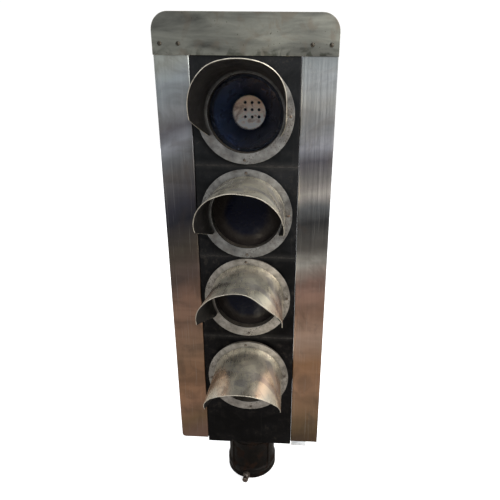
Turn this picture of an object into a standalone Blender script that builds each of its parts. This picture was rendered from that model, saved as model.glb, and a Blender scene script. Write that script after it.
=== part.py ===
"""Four-lamp traffic signal head on a cast pole socket, as separate parts.

Metres, +Z up, front towards -Y. The origin is the centre of the flat seat inside the
socket, where the top of the pole stops.
"""

import math

import bmesh
import bpy

# ---------------------------------------------------------------- driving sizes
FIT_GAP = 0.0003  # between faces that touch
RUN_GAP = 0.0005  # radial or axial play of a piece that turns

LAMP_STEPS = (0.280, 0.270, 0.291)  # between lamp centres, from the top
LAMP_FACETS = 28  # pieces nested in one lamp share their facets, so their gaps stay even
PLATE_FACETS = 24
LENS_OPENING_R = 0.1015

POLE_R = 0.06985
SOCKET_BORE_PLAY = 0.0008
SOCKET_WALL = 0.014
SOCKET_DEPTH = 0.135
SOCKET_TOP_T = 0.016
SOCKET_RIM_H = 0.040
SOCKET_RIM_PROUD = 0.005
SOCKET_RIB_PROUD = 0.004
SOCKET_RIB_T = 0.008
SOCKET_RIB_ANGLES = (-52.0, 50.0, 130.0, -130.0)
SPIGOT_R = 0.020
BASE_FLANGE_T = 0.018

CLAMP_BOLT_R = 0.008
CLAMP_HEAD_ACROSS = 0.019
CLAMP_HEAD_T = 0.012
CLAMP_REACH = 0.030
CLAMP_NUT_ACROSS = 0.024
CLAMP_NUT_T = 0.008
CLAMP_AZIMUTH = -7.0

CASING_W = 0.295
CASING_D = 0.180
CASING_FRONT = 0.088  # the front face stands this far in front of the swivel axis
CASING_WALL = 0.004
CASING_LIP = 0.012  # width of the lip round the rear opening, inside the wall
BOTTOM_TO_LAMP = 0.294
LAMP_TO_TOP = 0.156

BEZEL_FLANGE_R = 0.130
BEZEL_PROUD = 0.0118
BEZEL_CHAMFER = 0.002
BEZEL_SEAT_DEPTH = 0.006  # rebate for gasket and lens, behind the casing's front face
BEZEL_BACK_DEPTH = 0.024
BEZEL_SEAT_LEDGE = 0.0055
BEZEL_WALL = 0.003
APERTURE_PLAY = 0.001

GASKET_T = 0.003
LENS_T = 0.004
LENS_RISE = 0.014
LENS_RIM_W = 0.0065
REFLECTOR_T = 0.0018
REFLECTOR_RIM_W = 0.012
REFLECTOR_DEPTH = 0.082
LAMP_PLATE_R = 0.047
LAMP_PLATE_T = 0.014
LAMP_HOLE_R = 0.0048
LAMP_HOLE_DEPTH = 0.006
LAMP_HOLE_PITCH = 0.020
LAMP_HOLE_GRID = 3
LAMP_HOLE_SHIFT = 0.008  # the grid sits off the plate's centre, up and to the right
MODULE_WALL = 0.0075
MODULE_T = 0.040
MODULE_PLUG_R = 0.014
MODULE_PLUG_T = 0.010

VISOR_SHEET = 0.002
VISOR_FLANGE_R = 0.133
VISOR_FLANGE_IN = 0.006  # the flange runs this far inside the hood
VISOR_BASE_R = 0.1115
VISOR_RIM_R = 0.117
VISOR_TOP_REACHES = (0.236, 0.231, 0.208, 0.238)  # one for each lamp, from the top
VISOR_SIDE_REACH = 0.160
VISOR_HEEL_REACH = 0.018
VISOR_CORNER_ANGLE = 93.0  # from the top of the hood
VISOR_HEEL_ANGLE = 120.0

WING_W = 0.0935
WING_SHEET = 0.002
WING_RETURN = 0.030
WING_BELOW_LAMP = 0.276
WING_CORNER_R = 0.012
CAP_BOTTOM_ABOVE_LAMP = 0.1456
CAP_H = 0.102
CAP_CORNER_R = 0.045
CAP_OVERHANG = 0.0012
CAP_LAP = 0.050
RIVET_R = 0.0024
RIVET_HEAD_R = 0.0055
RIVET_HEAD_T = 0.003
RIVET_IN = 0.026  # centre of the inner rivet from the wing's inner edge
RIVET_OUT = 0.019  # centre of the outer rivet from the wing's outer edge
RIVET_UP = 0.027

FOOT_W = 0.052
FOOT_T = 0.003
FOOT_D = 0.020
FOOT_H = 0.057
FOOT_DROP = 0.022  # below the wing's lower edge

DOOR_T = 0.003
DOOR_RIB_T = 0.005
DOOR_RIB_W = 0.020
DOOR_RIB_X = 0.070
DOOR_GASKET_T = 0.003
DOOR_GASKET_W = 0.009
HINGE_OUT = 0.0085  # pin axis outside the casing's side
HINGE_KNUCKLE_R = 0.0065
HINGE_KNUCKLE_H = 0.028
HINGE_LEAF_T = 0.003
HINGE_LEAF_D = 0.040
HINGE_PIN_R = 0.003
HINGE_FROM_END = 0.200
LATCH_SHAFT_R = 0.004
LATCH_FROM_EDGE = 0.0345
LATCH_FROM_END = 0.330
LATCH_HUB_R = 0.011
LATCH_HUB_T = 0.008
LATCH_LEVER_L = 0.050
LATCH_LEVER_W = 0.012
LATCH_CAM_L = 0.026
LATCH_CAM_W = 0.010
LATCH_CAM_T = 0.003

WASHER_R = 0.034
WASHER_T = 0.003
NUT_ACROSS = 0.060
NUT_T = 0.016
SPIGOT_PROUD = 0.004

TERMINAL_SIZE = (0.120, 0.028, 0.032)
TERMINAL_UP = 0.075
GLAND_X = 0.112
GLAND_Y = 0.040
GLAND_R = 0.009
GLAND_HEX_ACROSS = 0.026
GLAND_HEX_T = 0.010
GLAND_CAP_T = 0.014
GLAND_BORE_R = 0.005

# ---------------------------------------------------------------- derived places
SOCKET_BORE_R = POLE_R + SOCKET_BORE_PLAY
SOCKET_R = SOCKET_BORE_R + SOCKET_WALL
SOCKET_RIM_R = SOCKET_R + SOCKET_RIM_PROUD
FLANGE_BOTTOM_Z = SOCKET_TOP_T + RUN_GAP
FLANGE_TOP_Z = FLANGE_BOTTOM_Z + BASE_FLANGE_T
CASING_BOTTOM_Z = FLANGE_TOP_Z + FIT_GAP
LAMP_Z = [
    CASING_BOTTOM_Z + BOTTOM_TO_LAMP + sum(LAMP_STEPS[k:]) for k in range(len(LAMP_STEPS) + 1)
]
CASING_TOP_Z = LAMP_Z[0] + LAMP_TO_TOP
FRONT_Y = -CASING_FRONT
REAR_Y = FRONT_Y + CASING_D

BEZEL_REBATE_R = LENS_OPENING_R + BEZEL_SEAT_LEDGE
BEZEL_SPIGOT_R = BEZEL_REBATE_R + BEZEL_WALL
APERTURE_R = BEZEL_SPIGOT_R + APERTURE_PLAY
LENS_R = BEZEL_REBATE_R - FIT_GAP
GASKET_FRONT_T = -BEZEL_SEAT_DEPTH - FIT_GAP
LENS_FRONT_T = GASKET_FRONT_T - GASKET_T - FIT_GAP
REFLECTOR_FRONT_T = LENS_FRONT_T - LENS_T - FIT_GAP
REFLECTOR_BACK_T = REFLECTOR_FRONT_T - REFLECTOR_DEPTH
MODULE_SEAT_T = REFLECTOR_BACK_T - FIT_GAP
PLATE_BACK_T = MODULE_SEAT_T - LAMP_PLATE_T / 2
VISOR_BACK_T = BEZEL_PROUD + FIT_GAP
VISOR_FRONT_T = VISOR_BACK_T + VISOR_SHEET

WING_INNER_X = CASING_W / 2 + FIT_GAP
WING_OUTER_X = WING_INNER_X + WING_W
WING_FRONT_Y = FRONT_Y - WING_SHEET - RUN_GAP
WING_BOTTOM_Z = LAMP_Z[-1] - WING_BELOW_LAMP
CAP_BOTTOM_Z = LAMP_Z[0] + CAP_BOTTOM_ABOVE_LAMP
WING_TOP_Z = CAP_BOTTOM_Z + CAP_LAP
CAP_BACK_Y = WING_FRONT_Y - FIT_GAP

DOOR_GASKET_Y = REAR_Y + FIT_GAP
DOOR_FRONT_Y = DOOR_GASKET_Y + DOOR_GASKET_T + FIT_GAP
DOOR_BACK_Y = DOOR_FRONT_Y + DOOR_T
HINGE_X = CASING_W / 2 + HINGE_OUT
HINGE_Y = DOOR_FRONT_Y + DOOR_T / 2
LATCH_X = -CASING_W / 2 + LATCH_FROM_EDGE

FORWARD = (math.radians(90), 0, 0)  # local z points to the front, local y up
SIDES = (("left", -1), ("right", 1))
ENDS = (
    ("upper", CASING_TOP_Z, -1),
    ("lower", CASING_BOTTOM_Z, 1),
)


# ---------------------------------------------------------------- helpers
def clear_scene():
    for obj in list(bpy.data.objects):
        bpy.data.objects.remove(obj, do_unlink=True)


def material(name, colour, metallic, roughness):
    made = bpy.data.materials.new(name)
    made.use_nodes = True
    shader = made.node_tree.nodes["Principled BSDF"]
    shader.inputs["Base Color"].default_value = (*colour, 1)
    shader.inputs["Metallic"].default_value = metallic
    shader.inputs["Roughness"].default_value = roughness
    made.diffuse_color = (*colour, 1)
    return made


def mesh_from(name, build):
    """A mesh whose faces all point out, from a function that fills a bmesh."""
    shape = bmesh.new()
    build(shape)
    bmesh.ops.recalc_face_normals(shape, faces=shape.faces)
    mesh = bpy.data.meshes.new(name)
    shape.to_mesh(mesh)
    shape.free()
    mesh.shade_smooth()
    mesh.set_sharp_from_angle(angle=math.radians(32))
    return mesh


def lathe_mesh(name, profile, segments):
    """Turns a closed outline of (radius, height) about local z. A radius of 0 is a pole."""

    def build(shape):
        rings = []
        for radius, height in profile:
            if radius == 0:
                rings.append([shape.verts.new((0, 0, height))] * segments)
                continue
            rings.append(
                [
                    shape.verts.new(
                        (
                            radius * math.cos(2 * math.pi * k / segments),
                            radius * math.sin(2 * math.pi * k / segments),
                            height,
                        )
                    )
                    for k in range(segments)
                ]
            )
        for one, two in zip(rings, rings[1:] + rings[:1]):
            for k in range(segments):
                corners = [one[k], one[(k + 1) % segments], two[(k + 1) % segments], two[k]]
                corners = list(dict.fromkeys(corners))
                if len(corners) > 2:
                    shape.faces.new(corners)

    return mesh_from(name, build)


def prism_mesh(name, outline, low, high):
    """Extrudes a closed outline of (x, y) from z = low to z = high."""

    def build(shape):
        base = shape.faces.new([shape.verts.new((x, y, low)) for x, y in outline])
        grown = bmesh.ops.extrude_face_region(shape, geom=[base])
        top = [v for v in grown["geom"] if isinstance(v, bmesh.types.BMVert)]
        bmesh.ops.translate(shape, vec=(0, 0, high - low), verts=top)

    return mesh_from(name, build)


def box_mesh(name, low, high):
    (x0, y0, z0), (x1, y1, z1) = low, high
    return prism_mesh(name, [(x0, y0), (x1, y0), (x1, y1), (x0, y1)], z0, z1)


def rounded_outline(low, high, radii, steps=6):
    """A rectangle with its own radius at each corner, from the lower left, anticlockwise."""
    (x0, y0), (x1, y1) = low, high
    corners = ((x0, y0, 180), (x1, y0, 270), (x1, y1, 0), (x0, y1, 90))
    points = []
    for (x, y, start), radius in zip(corners, radii):
        if radius == 0:
            points.append((x, y))
            continue
        cx = x + radius if x == x0 else x - radius
        cy = y + radius if y == y0 else y - radius
        for k in range(steps + 1):
            angle = math.radians(start + 90 * k / steps)
            points.append((cx + radius * math.cos(angle), cy + radius * math.sin(angle)))
    return points


def hexagon(across, phase=0.0):
    radius = across / math.sqrt(3)
    angles = [math.radians(phase + 60 * k) for k in range(6)]
    return [(radius * math.cos(a), radius * math.sin(a)) for a in angles]


def bar_outline(length, width, tail=0.0):
    """A lever seen along its shaft: from `tail` above the shaft to `length` below it."""
    half = width / 2
    return rounded_outline((-half, -length), (half, tail + half), [half * 0.9] * 4, 3)


def add(name, mesh, look, location=(0, 0, 0), rotation=(0, 0, 0), parent=None):
    obj = bpy.data.objects.new(name, mesh)
    bpy.context.scene.collection.objects.link(obj)
    if not mesh.materials:
        mesh.materials.append(look)
    obj.location = location
    obj.rotation_euler = rotation
    obj.parent = parent
    return obj


def helper(name, mesh, location=(0, 0, 0), rotation=(0, 0, 0), parent=None):
    """A shape that a Boolean uses and that isn't a part."""
    obj = bpy.data.objects.new(name, mesh)
    bpy.context.scene.collection.objects.link(obj)
    obj.location = location
    obj.rotation_euler = rotation
    obj.parent = parent
    obj.hide_render = True
    obj.display_type = "WIRE"
    return obj


def combine(obj, other, operation):
    step = obj.modifiers.new(f"{operation.lower()} {other.name}", "BOOLEAN")
    step.operation = operation
    step.solver = "EXACT"
    step.object = other


def pivot(name, location, rotation=(0, 0, 0), parent=None):
    """An empty on a joint's axis."""
    empty = bpy.data.objects.new(name, None)
    bpy.context.scene.collection.objects.link(empty)
    empty.empty_display_size = 0.05
    empty.location = location
    empty.rotation_euler = rotation
    empty.parent = parent
    return empty


# ---------------------------------------------------------------- pole socket
def build_socket(cast, steel):
    outer = [
        (SOCKET_R, SOCKET_TOP_T),
        (SOCKET_R, -SOCKET_DEPTH + SOCKET_RIM_H + SOCKET_RIM_PROUD),
        (SOCKET_RIM_R, -SOCKET_DEPTH + SOCKET_RIM_H),
        (SOCKET_RIM_R, -SOCKET_DEPTH),
        (SOCKET_BORE_R, -SOCKET_DEPTH),
        (SOCKET_BORE_R, 0),
        (0, 0),
    ]
    spigot_top = CASING_BOTTOM_Z + CASING_WALL + WASHER_T + NUT_T + 2 * FIT_GAP + SPIGOT_PROUD
    outer += [(0, spigot_top), (SPIGOT_R, spigot_top), (SPIGOT_R, SOCKET_TOP_T)]
    socket = add("pole_socket", lathe_mesh("pole_socket", outer, 48), cast)

    rib_bottom = -SOCKET_DEPTH + SOCKET_RIM_H / 2
    rib_in = SOCKET_R - SOCKET_WALL / 2
    for k, angle in enumerate(SOCKET_RIB_ANGLES):
        rib = box_mesh(
            f"rib_{k + 1}",
            (-SOCKET_RIB_T / 2, rib_in, rib_bottom),
            (SOCKET_RIB_T / 2, SOCKET_R + SOCKET_RIB_PROUD, SOCKET_TOP_T - SOCKET_RIB_T),
        )
        turn = (0, 0, math.radians(180 - angle))
        combine(socket, helper(f"rib_{k + 1}", rib, rotation=turn), "UNION")

    clamp_z = -SOCKET_DEPTH + SOCKET_RIM_H / 2
    turn = (math.radians(90), 0, math.radians(CLAMP_AZIMUTH))
    clamp = pivot("clamp_axis", (0, 0, clamp_z), turn)
    start = SOCKET_BORE_R / 2
    end = SOCKET_RIM_R + CLAMP_REACH
    hole = CLAMP_BOLT_R + RUN_GAP
    bore = lathe_mesh("clamp_bore", [(0, start), (0, end), (hole, end), (hole, start)], 20)
    combine(socket, helper("clamp_bore", bore, parent=clamp), "DIFFERENCE")

    tip = SOCKET_BORE_R + RUN_GAP
    head = SOCKET_RIM_R + CLAMP_REACH
    shank = [
        (0, tip),
        (CLAMP_BOLT_R * 0.6, tip),
        (CLAMP_BOLT_R, tip + CLAMP_BOLT_R * 0.4),
        (CLAMP_BOLT_R, head - CLAMP_HEAD_T / 2),
        (0, head - CLAMP_HEAD_T / 2),
    ]
    bolt = add("clamp_bolt", lathe_mesh("clamp_bolt", shank, 20), steel, parent=clamp)
    outline = hexagon(CLAMP_HEAD_ACROSS)
    top = prism_mesh("clamp_head", outline, head - CLAMP_HEAD_T, head)
    combine(bolt, helper("clamp_head", top, parent=clamp), "UNION")

    nut_low = SOCKET_RIM_R + FIT_GAP
    outline = hexagon(CLAMP_NUT_ACROSS, 30)
    nut = prism_mesh("clamp_locknut", outline, nut_low, nut_low + CLAMP_NUT_T)
    locknut = add("clamp_locknut", nut, steel, parent=clamp)
    combine(locknut, helper("locknut_bore", bore, parent=clamp), "DIFFERENCE")

    washer_low = CASING_BOTTOM_Z + CASING_WALL + FIT_GAP
    hole = SPIGOT_R + RUN_GAP
    ring = [
        (hole, washer_low),
        (hole, washer_low + WASHER_T),
        (WASHER_R, washer_low + WASHER_T),
        (WASHER_R, washer_low),
    ]
    add("swivel_washer", lathe_mesh("swivel_washer", ring, 32), steel)
    nut_low = washer_low + WASHER_T + FIT_GAP
    nut = prism_mesh("swivel_nut", hexagon(NUT_ACROSS), nut_low, nut_low + NUT_T)
    swivel_nut = add("swivel_nut", nut, steel)
    end = nut_low + 2 * NUT_T
    swivel_bore = lathe_mesh("swivel_bore", [(0, 0), (0, end), (hole, end), (hole, 0)], 32)
    combine(swivel_nut, helper("swivel_bore", swivel_bore), "DIFFERENCE")
    return swivel_bore


# ---------------------------------------------------------------- casing
def build_casing(head, swivel_bore, black, cast):
    flange = [
        (SPIGOT_R + RUN_GAP, FLANGE_BOTTOM_Z),
        (SPIGOT_R + RUN_GAP, FLANGE_TOP_Z),
        (SOCKET_R, FLANGE_TOP_Z),
        (SOCKET_R, FLANGE_BOTTOM_Z),
    ]
    add("base_flange", lathe_mesh("base_flange", flange, 48), cast, parent=head)

    half = CASING_W / 2
    shell = box_mesh(
        "casing_shell", (-half, FRONT_Y, CASING_BOTTOM_Z), (half, REAR_Y, CASING_TOP_Z)
    )
    casing = add("casing_shell", shell, black, parent=head)
    inner = half - CASING_WALL
    cavity = box_mesh(
        "cavity",
        (-inner, FRONT_Y + CASING_WALL, CASING_BOTTOM_Z + CASING_WALL),
        (inner, REAR_Y - CASING_WALL, CASING_TOP_Z - CASING_WALL),
    )
    combine(casing, helper("cavity", cavity, parent=head), "DIFFERENCE")
    inner -= CASING_LIP
    mouth = box_mesh(
        "mouth",
        (-inner, 0, CASING_BOTTOM_Z + CASING_WALL + CASING_LIP),
        (inner, REAR_Y + CASING_WALL, CASING_TOP_Z - CASING_WALL - CASING_LIP),
    )
    combine(casing, helper("mouth", mouth, parent=head), "DIFFERENCE")
    combine(casing, helper("swivel_hole", swivel_bore, parent=head), "DIFFERENCE")
    reach = CASING_WALL * 2
    disc = [(0, -reach), (0, reach), (APERTURE_R, reach), (APERTURE_R, -reach)]
    aperture = lathe_mesh("aperture", disc, LAMP_FACETS)
    for k, z in enumerate(LAMP_Z):
        hole = helper(f"aperture_{k + 1}", aperture, (0, FRONT_Y, z), FORWARD, head)
        combine(casing, hole, "DIFFERENCE")
    gland_r = GLAND_R + FIT_GAP
    disc = [(0, -reach), (0, reach), (gland_r, reach), (gland_r, -reach)]
    place = (GLAND_X, GLAND_Y, CASING_BOTTOM_Z)
    hole = helper("gland_hole", lathe_mesh("gland_hole", disc, 20), place, parent=head)
    combine(casing, hole, "DIFFERENCE")


# ---------------------------------------------------------------- lamps
def bezel_mesh():
    outline = [
        (BEZEL_FLANGE_R, FIT_GAP),
        (BEZEL_FLANGE_R, BEZEL_PROUD - BEZEL_CHAMFER),
        (BEZEL_FLANGE_R - BEZEL_CHAMFER, BEZEL_PROUD),
        (LENS_OPENING_R, BEZEL_PROUD),
        (LENS_OPENING_R, -BEZEL_SEAT_DEPTH),
        (BEZEL_REBATE_R, -BEZEL_SEAT_DEPTH),
        (BEZEL_REBATE_R, -BEZEL_BACK_DEPTH),
        (BEZEL_SPIGOT_R, -BEZEL_BACK_DEPTH),
        (BEZEL_SPIGOT_R, FIT_GAP),
    ]
    return lathe_mesh("lens_bezel", outline, LAMP_FACETS)


def gasket_mesh():
    inner = LENS_OPENING_R + FIT_GAP
    outline = [
        (inner, GASKET_FRONT_T - GASKET_T),
        (inner, GASKET_FRONT_T),
        (LENS_R, GASKET_FRONT_T),
        (LENS_R, GASKET_FRONT_T - GASKET_T),
    ]
    return lathe_mesh("lens_gasket", outline, LAMP_FACETS)


def lens_mesh():
    """A shallow dome inside a flat rim, the same thickness all over."""
    dome_r = LENS_R - LENS_RIM_W
    front = []
    for share in (0.0, 0.6, 1.0):
        front.append((dome_r * share, LENS_FRONT_T + LENS_RISE * (1 - share**2)))
    back = [(r, height - LENS_T) for r, height in front]
    rim = [(LENS_R, LENS_FRONT_T), (LENS_R, LENS_FRONT_T - LENS_T)]
    return lathe_mesh("lens", front + rim + back[::-1], LAMP_FACETS)


def reflector_mesh():
    """A paraboloid bowl with a flat rim at the lens and an open neck round the lamp plate."""
    mouth = LENS_R - REFLECTOR_RIM_W
    neck = LAMP_PLATE_R + REFLECTOR_T
    depth = REFLECTOR_DEPTH
    inner = []
    for share in (0.0, 0.5, 1.0):
        radius = math.sqrt(mouth**2 - (mouth**2 - neck**2) * share)
        inner.append((radius, REFLECTOR_FRONT_T - depth * share))
    outer = [(r + REFLECTOR_T, height) for r, height in inner[1:]]
    rim_back = REFLECTOR_FRONT_T - REFLECTOR_T
    rim = [(mouth + REFLECTOR_T, rim_back), (LENS_R, rim_back), (LENS_R, REFLECTOR_FRONT_T)]
    return lathe_mesh("reflector", inner + outer[::-1] + rim, LAMP_FACETS)


def lamp_plate_mesh():
    front = PLATE_BACK_T + LAMP_PLATE_T
    outline = [(0, PLATE_BACK_T), (0, front), (LAMP_PLATE_R, front), (LAMP_PLATE_R, PLATE_BACK_T)]
    return lathe_mesh("lamp_plate", outline, PLATE_FACETS)


def lamp_holes_mesh():
    """The sockets of the lamp plate, as one cutter of separate hexagonal prisms."""
    front = PLATE_BACK_T + LAMP_PLATE_T
    middle = (LAMP_HOLE_GRID - 1) / 2

    def build(shape):
        for row in range(LAMP_HOLE_GRID):
            for column in range(LAMP_HOLE_GRID):
                x = (column - middle) * LAMP_HOLE_PITCH + LAMP_HOLE_SHIFT
                y = (row - middle) * LAMP_HOLE_PITCH + LAMP_HOLE_SHIFT
                ends = []
                for z in (front - LAMP_HOLE_DEPTH, front + LAMP_HOLE_DEPTH):
                    ring = hexagon(LAMP_HOLE_R * 2)
                    ends.append([shape.verts.new((x + u, y + v, z)) for u, v in ring])
                shape.faces.new(ends[0])
                shape.faces.new(ends[1])
                for k in range(6):
                    after = (k + 1) % 6
                    shape.faces.new([ends[0][k], ends[0][after], ends[1][after], ends[1][k]])

    return mesh_from("lamp_holes", build)


def module_mesh():
    outer = LAMP_PLATE_R + MODULE_WALL
    back = PLATE_BACK_T - FIT_GAP - MODULE_T
    seat = LAMP_PLATE_R + FIT_GAP
    outline = [
        (0, PLATE_BACK_T - FIT_GAP),
        (seat, PLATE_BACK_T - FIT_GAP),
        (seat, MODULE_SEAT_T),
        (outer, MODULE_SEAT_T),
        (outer, back),
        (MODULE_PLUG_R, back),
        (MODULE_PLUG_R, back - MODULE_PLUG_T),
        (0, back - MODULE_PLUG_T),
    ]
    return lathe_mesh("lamp_module", outline, PLATE_FACETS)


def visor_flange_mesh():
    inner = VISOR_BASE_R - VISOR_SHEET - VISOR_FLANGE_IN
    outline = [
        (inner, VISOR_BACK_T),
        (inner, VISOR_FRONT_T),
        (VISOR_FLANGE_R, VISOR_FRONT_T),
        (VISOR_FLANGE_R, VISOR_BACK_T),
    ]
    return lathe_mesh("visor", outline, 36)


def hood_mesh(top_reach):
    """A slightly flared sheet tube, open below, its front edge cut back towards the sides."""
    corner = math.radians(VISOR_CORNER_ANGLE)
    heel = math.radians(VISOR_HEEL_ANGLE)
    side = [corner + (heel - corner) * k / 4 for k in range(1, 5)]
    front = [corner * (k / 12 - 1) for k in range(25)]
    angles = [-a for a in side[::-1]] + front + side

    def reach(angle):
        if abs(angle) <= corner + 1e-6:
            return VISOR_SIDE_REACH + (top_reach - VISOR_SIDE_REACH) * math.cos(angle)
        share = (math.cos(corner) - math.cos(angle)) / (math.cos(corner) - math.cos(heel))
        start = VISOR_SIDE_REACH + (top_reach - VISOR_SIDE_REACH) * math.cos(corner)
        return start + (VISOR_HEEL_REACH - start) * share

    def build(shape):
        base = VISOR_BACK_T + VISOR_SHEET / 2
        loops = []
        for angle in angles:
            end = VISOR_FRONT_T + reach(angle)
            flare = (VISOR_RIM_R - VISOR_BASE_R) * reach(angle) / top_reach
            corners = (
                (VISOR_BASE_R, base),
                (VISOR_BASE_R + flare, end),
                (VISOR_BASE_R + flare - VISOR_SHEET, end),
                (VISOR_BASE_R - VISOR_SHEET, base),
            )
            loops.append(
                [shape.verts.new((r * math.sin(angle), r * math.cos(angle), t)) for r, t in corners]
            )
        for one, two in zip(loops, loops[1:]):
            for k in range(4):
                after = (k + 1) % 4
                shape.faces.new([one[k], one[after], two[after], two[k]])
        shape.faces.new(loops[0])
        shape.faces.new(loops[-1])

    return mesh_from("hood", build)


def build_lamps(head, looks):
    meshes = {
        "lens_bezel": bezel_mesh(),
        "lens_gasket": gasket_mesh(),
        "lens": lens_mesh(),
        "reflector": reflector_mesh(),
        "lamp_plate": lamp_plate_mesh(),
        "lamp_module": module_mesh(),
        "visor": visor_flange_mesh(),
    }
    holes = lamp_holes_mesh()
    for k, (z, top_reach) in enumerate(zip(LAMP_Z, VISOR_TOP_REACHES)):
        hood = hood_mesh(top_reach)
        place = (0, FRONT_Y, z)
        for name, mesh in meshes.items():
            obj = add(f"{name}_{k + 1}", mesh, looks[name], place, FORWARD, head)
            if name == "visor":
                combine(obj, helper(f"hood_{k + 1}", hood, place, FORWARD, head), "UNION")
            if name == "lamp_plate":
                combine(obj, helper(f"holes_{k + 1}", holes, place, FORWARD, head), "DIFFERENCE")


# ---------------------------------------------------------------- backboard
def build_backboard(head, sheet, bright, steel):
    """Two side wings with a return along the casing, and a cap plate lapped over them."""
    holes = []
    for inset in (WING_INNER_X + RIVET_IN, WING_OUTER_X - RIVET_OUT):
        holes += [-inset, inset]
    reach = WING_SHEET * 4
    hole = RIVET_R + FIT_GAP
    drill = lathe_mesh(
        "rivet_hole", [(0, -reach), (0, reach), (hole, reach), (hole, -reach)], 12
    )
    rivet_z = CAP_BOTTOM_Z + RIVET_UP
    drills = []
    for k, x in enumerate(sorted(holes)):
        place = (x, CAP_BACK_Y, rivet_z)
        drills.append(helper(f"rivet_hole_{k + 1}", drill, place, FORWARD, head))

    for name, side in SIDES:
        low = (min(side * WING_INNER_X, side * WING_OUTER_X), WING_BOTTOM_Z)
        high = (max(side * WING_INNER_X, side * WING_OUTER_X), WING_TOP_Z)
        radii = (WING_CORNER_R, 0, 0, 0) if side < 0 else (0, 0, 0, 0)
        face = prism_mesh(f"wing_{name}", rounded_outline(low, high, radii, 4), 0, WING_SHEET)
        wing = add(
            f"backboard_wing_{name}",
            face,
            sheet,
            (0, WING_FRONT_Y + WING_SHEET, 0),
            FORWARD,
            head,
        )
        edge = sorted((side * WING_INNER_X, side * (WING_INNER_X + WING_SHEET)))
        fold = box_mesh(
            f"return_{name}",
            (edge[0], WING_FRONT_Y, WING_BOTTOM_Z + WING_CORNER_R),
            (edge[1], WING_FRONT_Y + WING_RETURN, CAP_BOTTOM_Z),
        )
        combine(wing, helper(f"return_{name}", fold, parent=head), "UNION")
        for hole in drills:
            if hole.location.x * side > 0:
                combine(wing, hole, "DIFFERENCE")

    half = WING_OUTER_X + CAP_OVERHANG
    outline = rounded_outline(
        (-half, CAP_BOTTOM_Z),
        (half, CAP_BOTTOM_Z + CAP_H),
        (0, 0, CAP_CORNER_R, CAP_CORNER_R),
    )
    plate = prism_mesh("backboard_cap", outline, 0, WING_SHEET)
    cap = add("backboard_cap", plate, sheet, (0, CAP_BACK_Y, 0), FORWARD, head)
    for hole in drills:
        combine(cap, hole, "DIFFERENCE")

    head_t = WING_SHEET + FIT_GAP
    tail_t = -WING_SHEET - 2 * FIT_GAP
    outline = [
        (0, head_t + RIVET_HEAD_T),
        (RIVET_HEAD_R * 0.6, head_t + RIVET_HEAD_T * 0.8),
        (RIVET_HEAD_R, head_t),
        (RIVET_R, head_t),
        (RIVET_R, tail_t),
        (RIVET_R * 1.6, tail_t),
        (RIVET_R * 1.6, tail_t - RIVET_R),
        (0, tail_t - RIVET_R),
    ]
    rivet = lathe_mesh("cap_rivet", outline, 12)
    for k, x in enumerate(sorted(holes)):
        add(f"cap_rivet_{k + 1}", rivet, steel, (x, CAP_BACK_Y, rivet_z), FORWARD, head)

    foot_x = WING_INNER_X + WING_SHEET + FIT_GAP
    foot_y = WING_FRONT_Y + WING_SHEET + FIT_GAP
    foot_z = WING_BOTTOM_Z - FOOT_DROP
    outline = [
        (foot_x, foot_z),
        (foot_x + FOOT_W, foot_z),
        (foot_x + FOOT_W, foot_z + FOOT_T),
        (foot_x + FOOT_T, foot_z + FOOT_T),
        (foot_x + FOOT_T, foot_z + FOOT_H),
        (foot_x, foot_z + FOOT_H),
    ]
    angle = prism_mesh("foot_bracket", outline, -FOOT_D, 0)
    add("foot_bracket", angle, bright, (0, foot_y, 0), FORWARD, head)


# ---------------------------------------------------------------- rear door
def door_gasket_mesh():
    half = CASING_W / 2 - CASING_WALL / 2
    low = CASING_BOTTOM_Z + CASING_WALL / 2
    high = CASING_TOP_Z - CASING_WALL / 2

    def build(shape):
        loops = []
        for inset in (0, DOOR_GASKET_W):
            for y in (DOOR_GASKET_Y, DOOR_GASKET_Y + DOOR_GASKET_T):
                x = half - inset
                ring = [(-x, low + inset), (x, low + inset), (x, high - inset), (-x, high - inset)]
                loops.append([shape.verts.new((u, y, v)) for u, v in ring])
        for one, two in ((0, 1), (1, 3), (3, 2), (2, 0)):
            for k in range(4):
                after = (k + 1) % 4
                shape.faces.new(
                    [loops[one][k], loops[one][after], loops[two][after], loops[two][k]]
                )

    return mesh_from("door_gasket", build)


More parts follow.
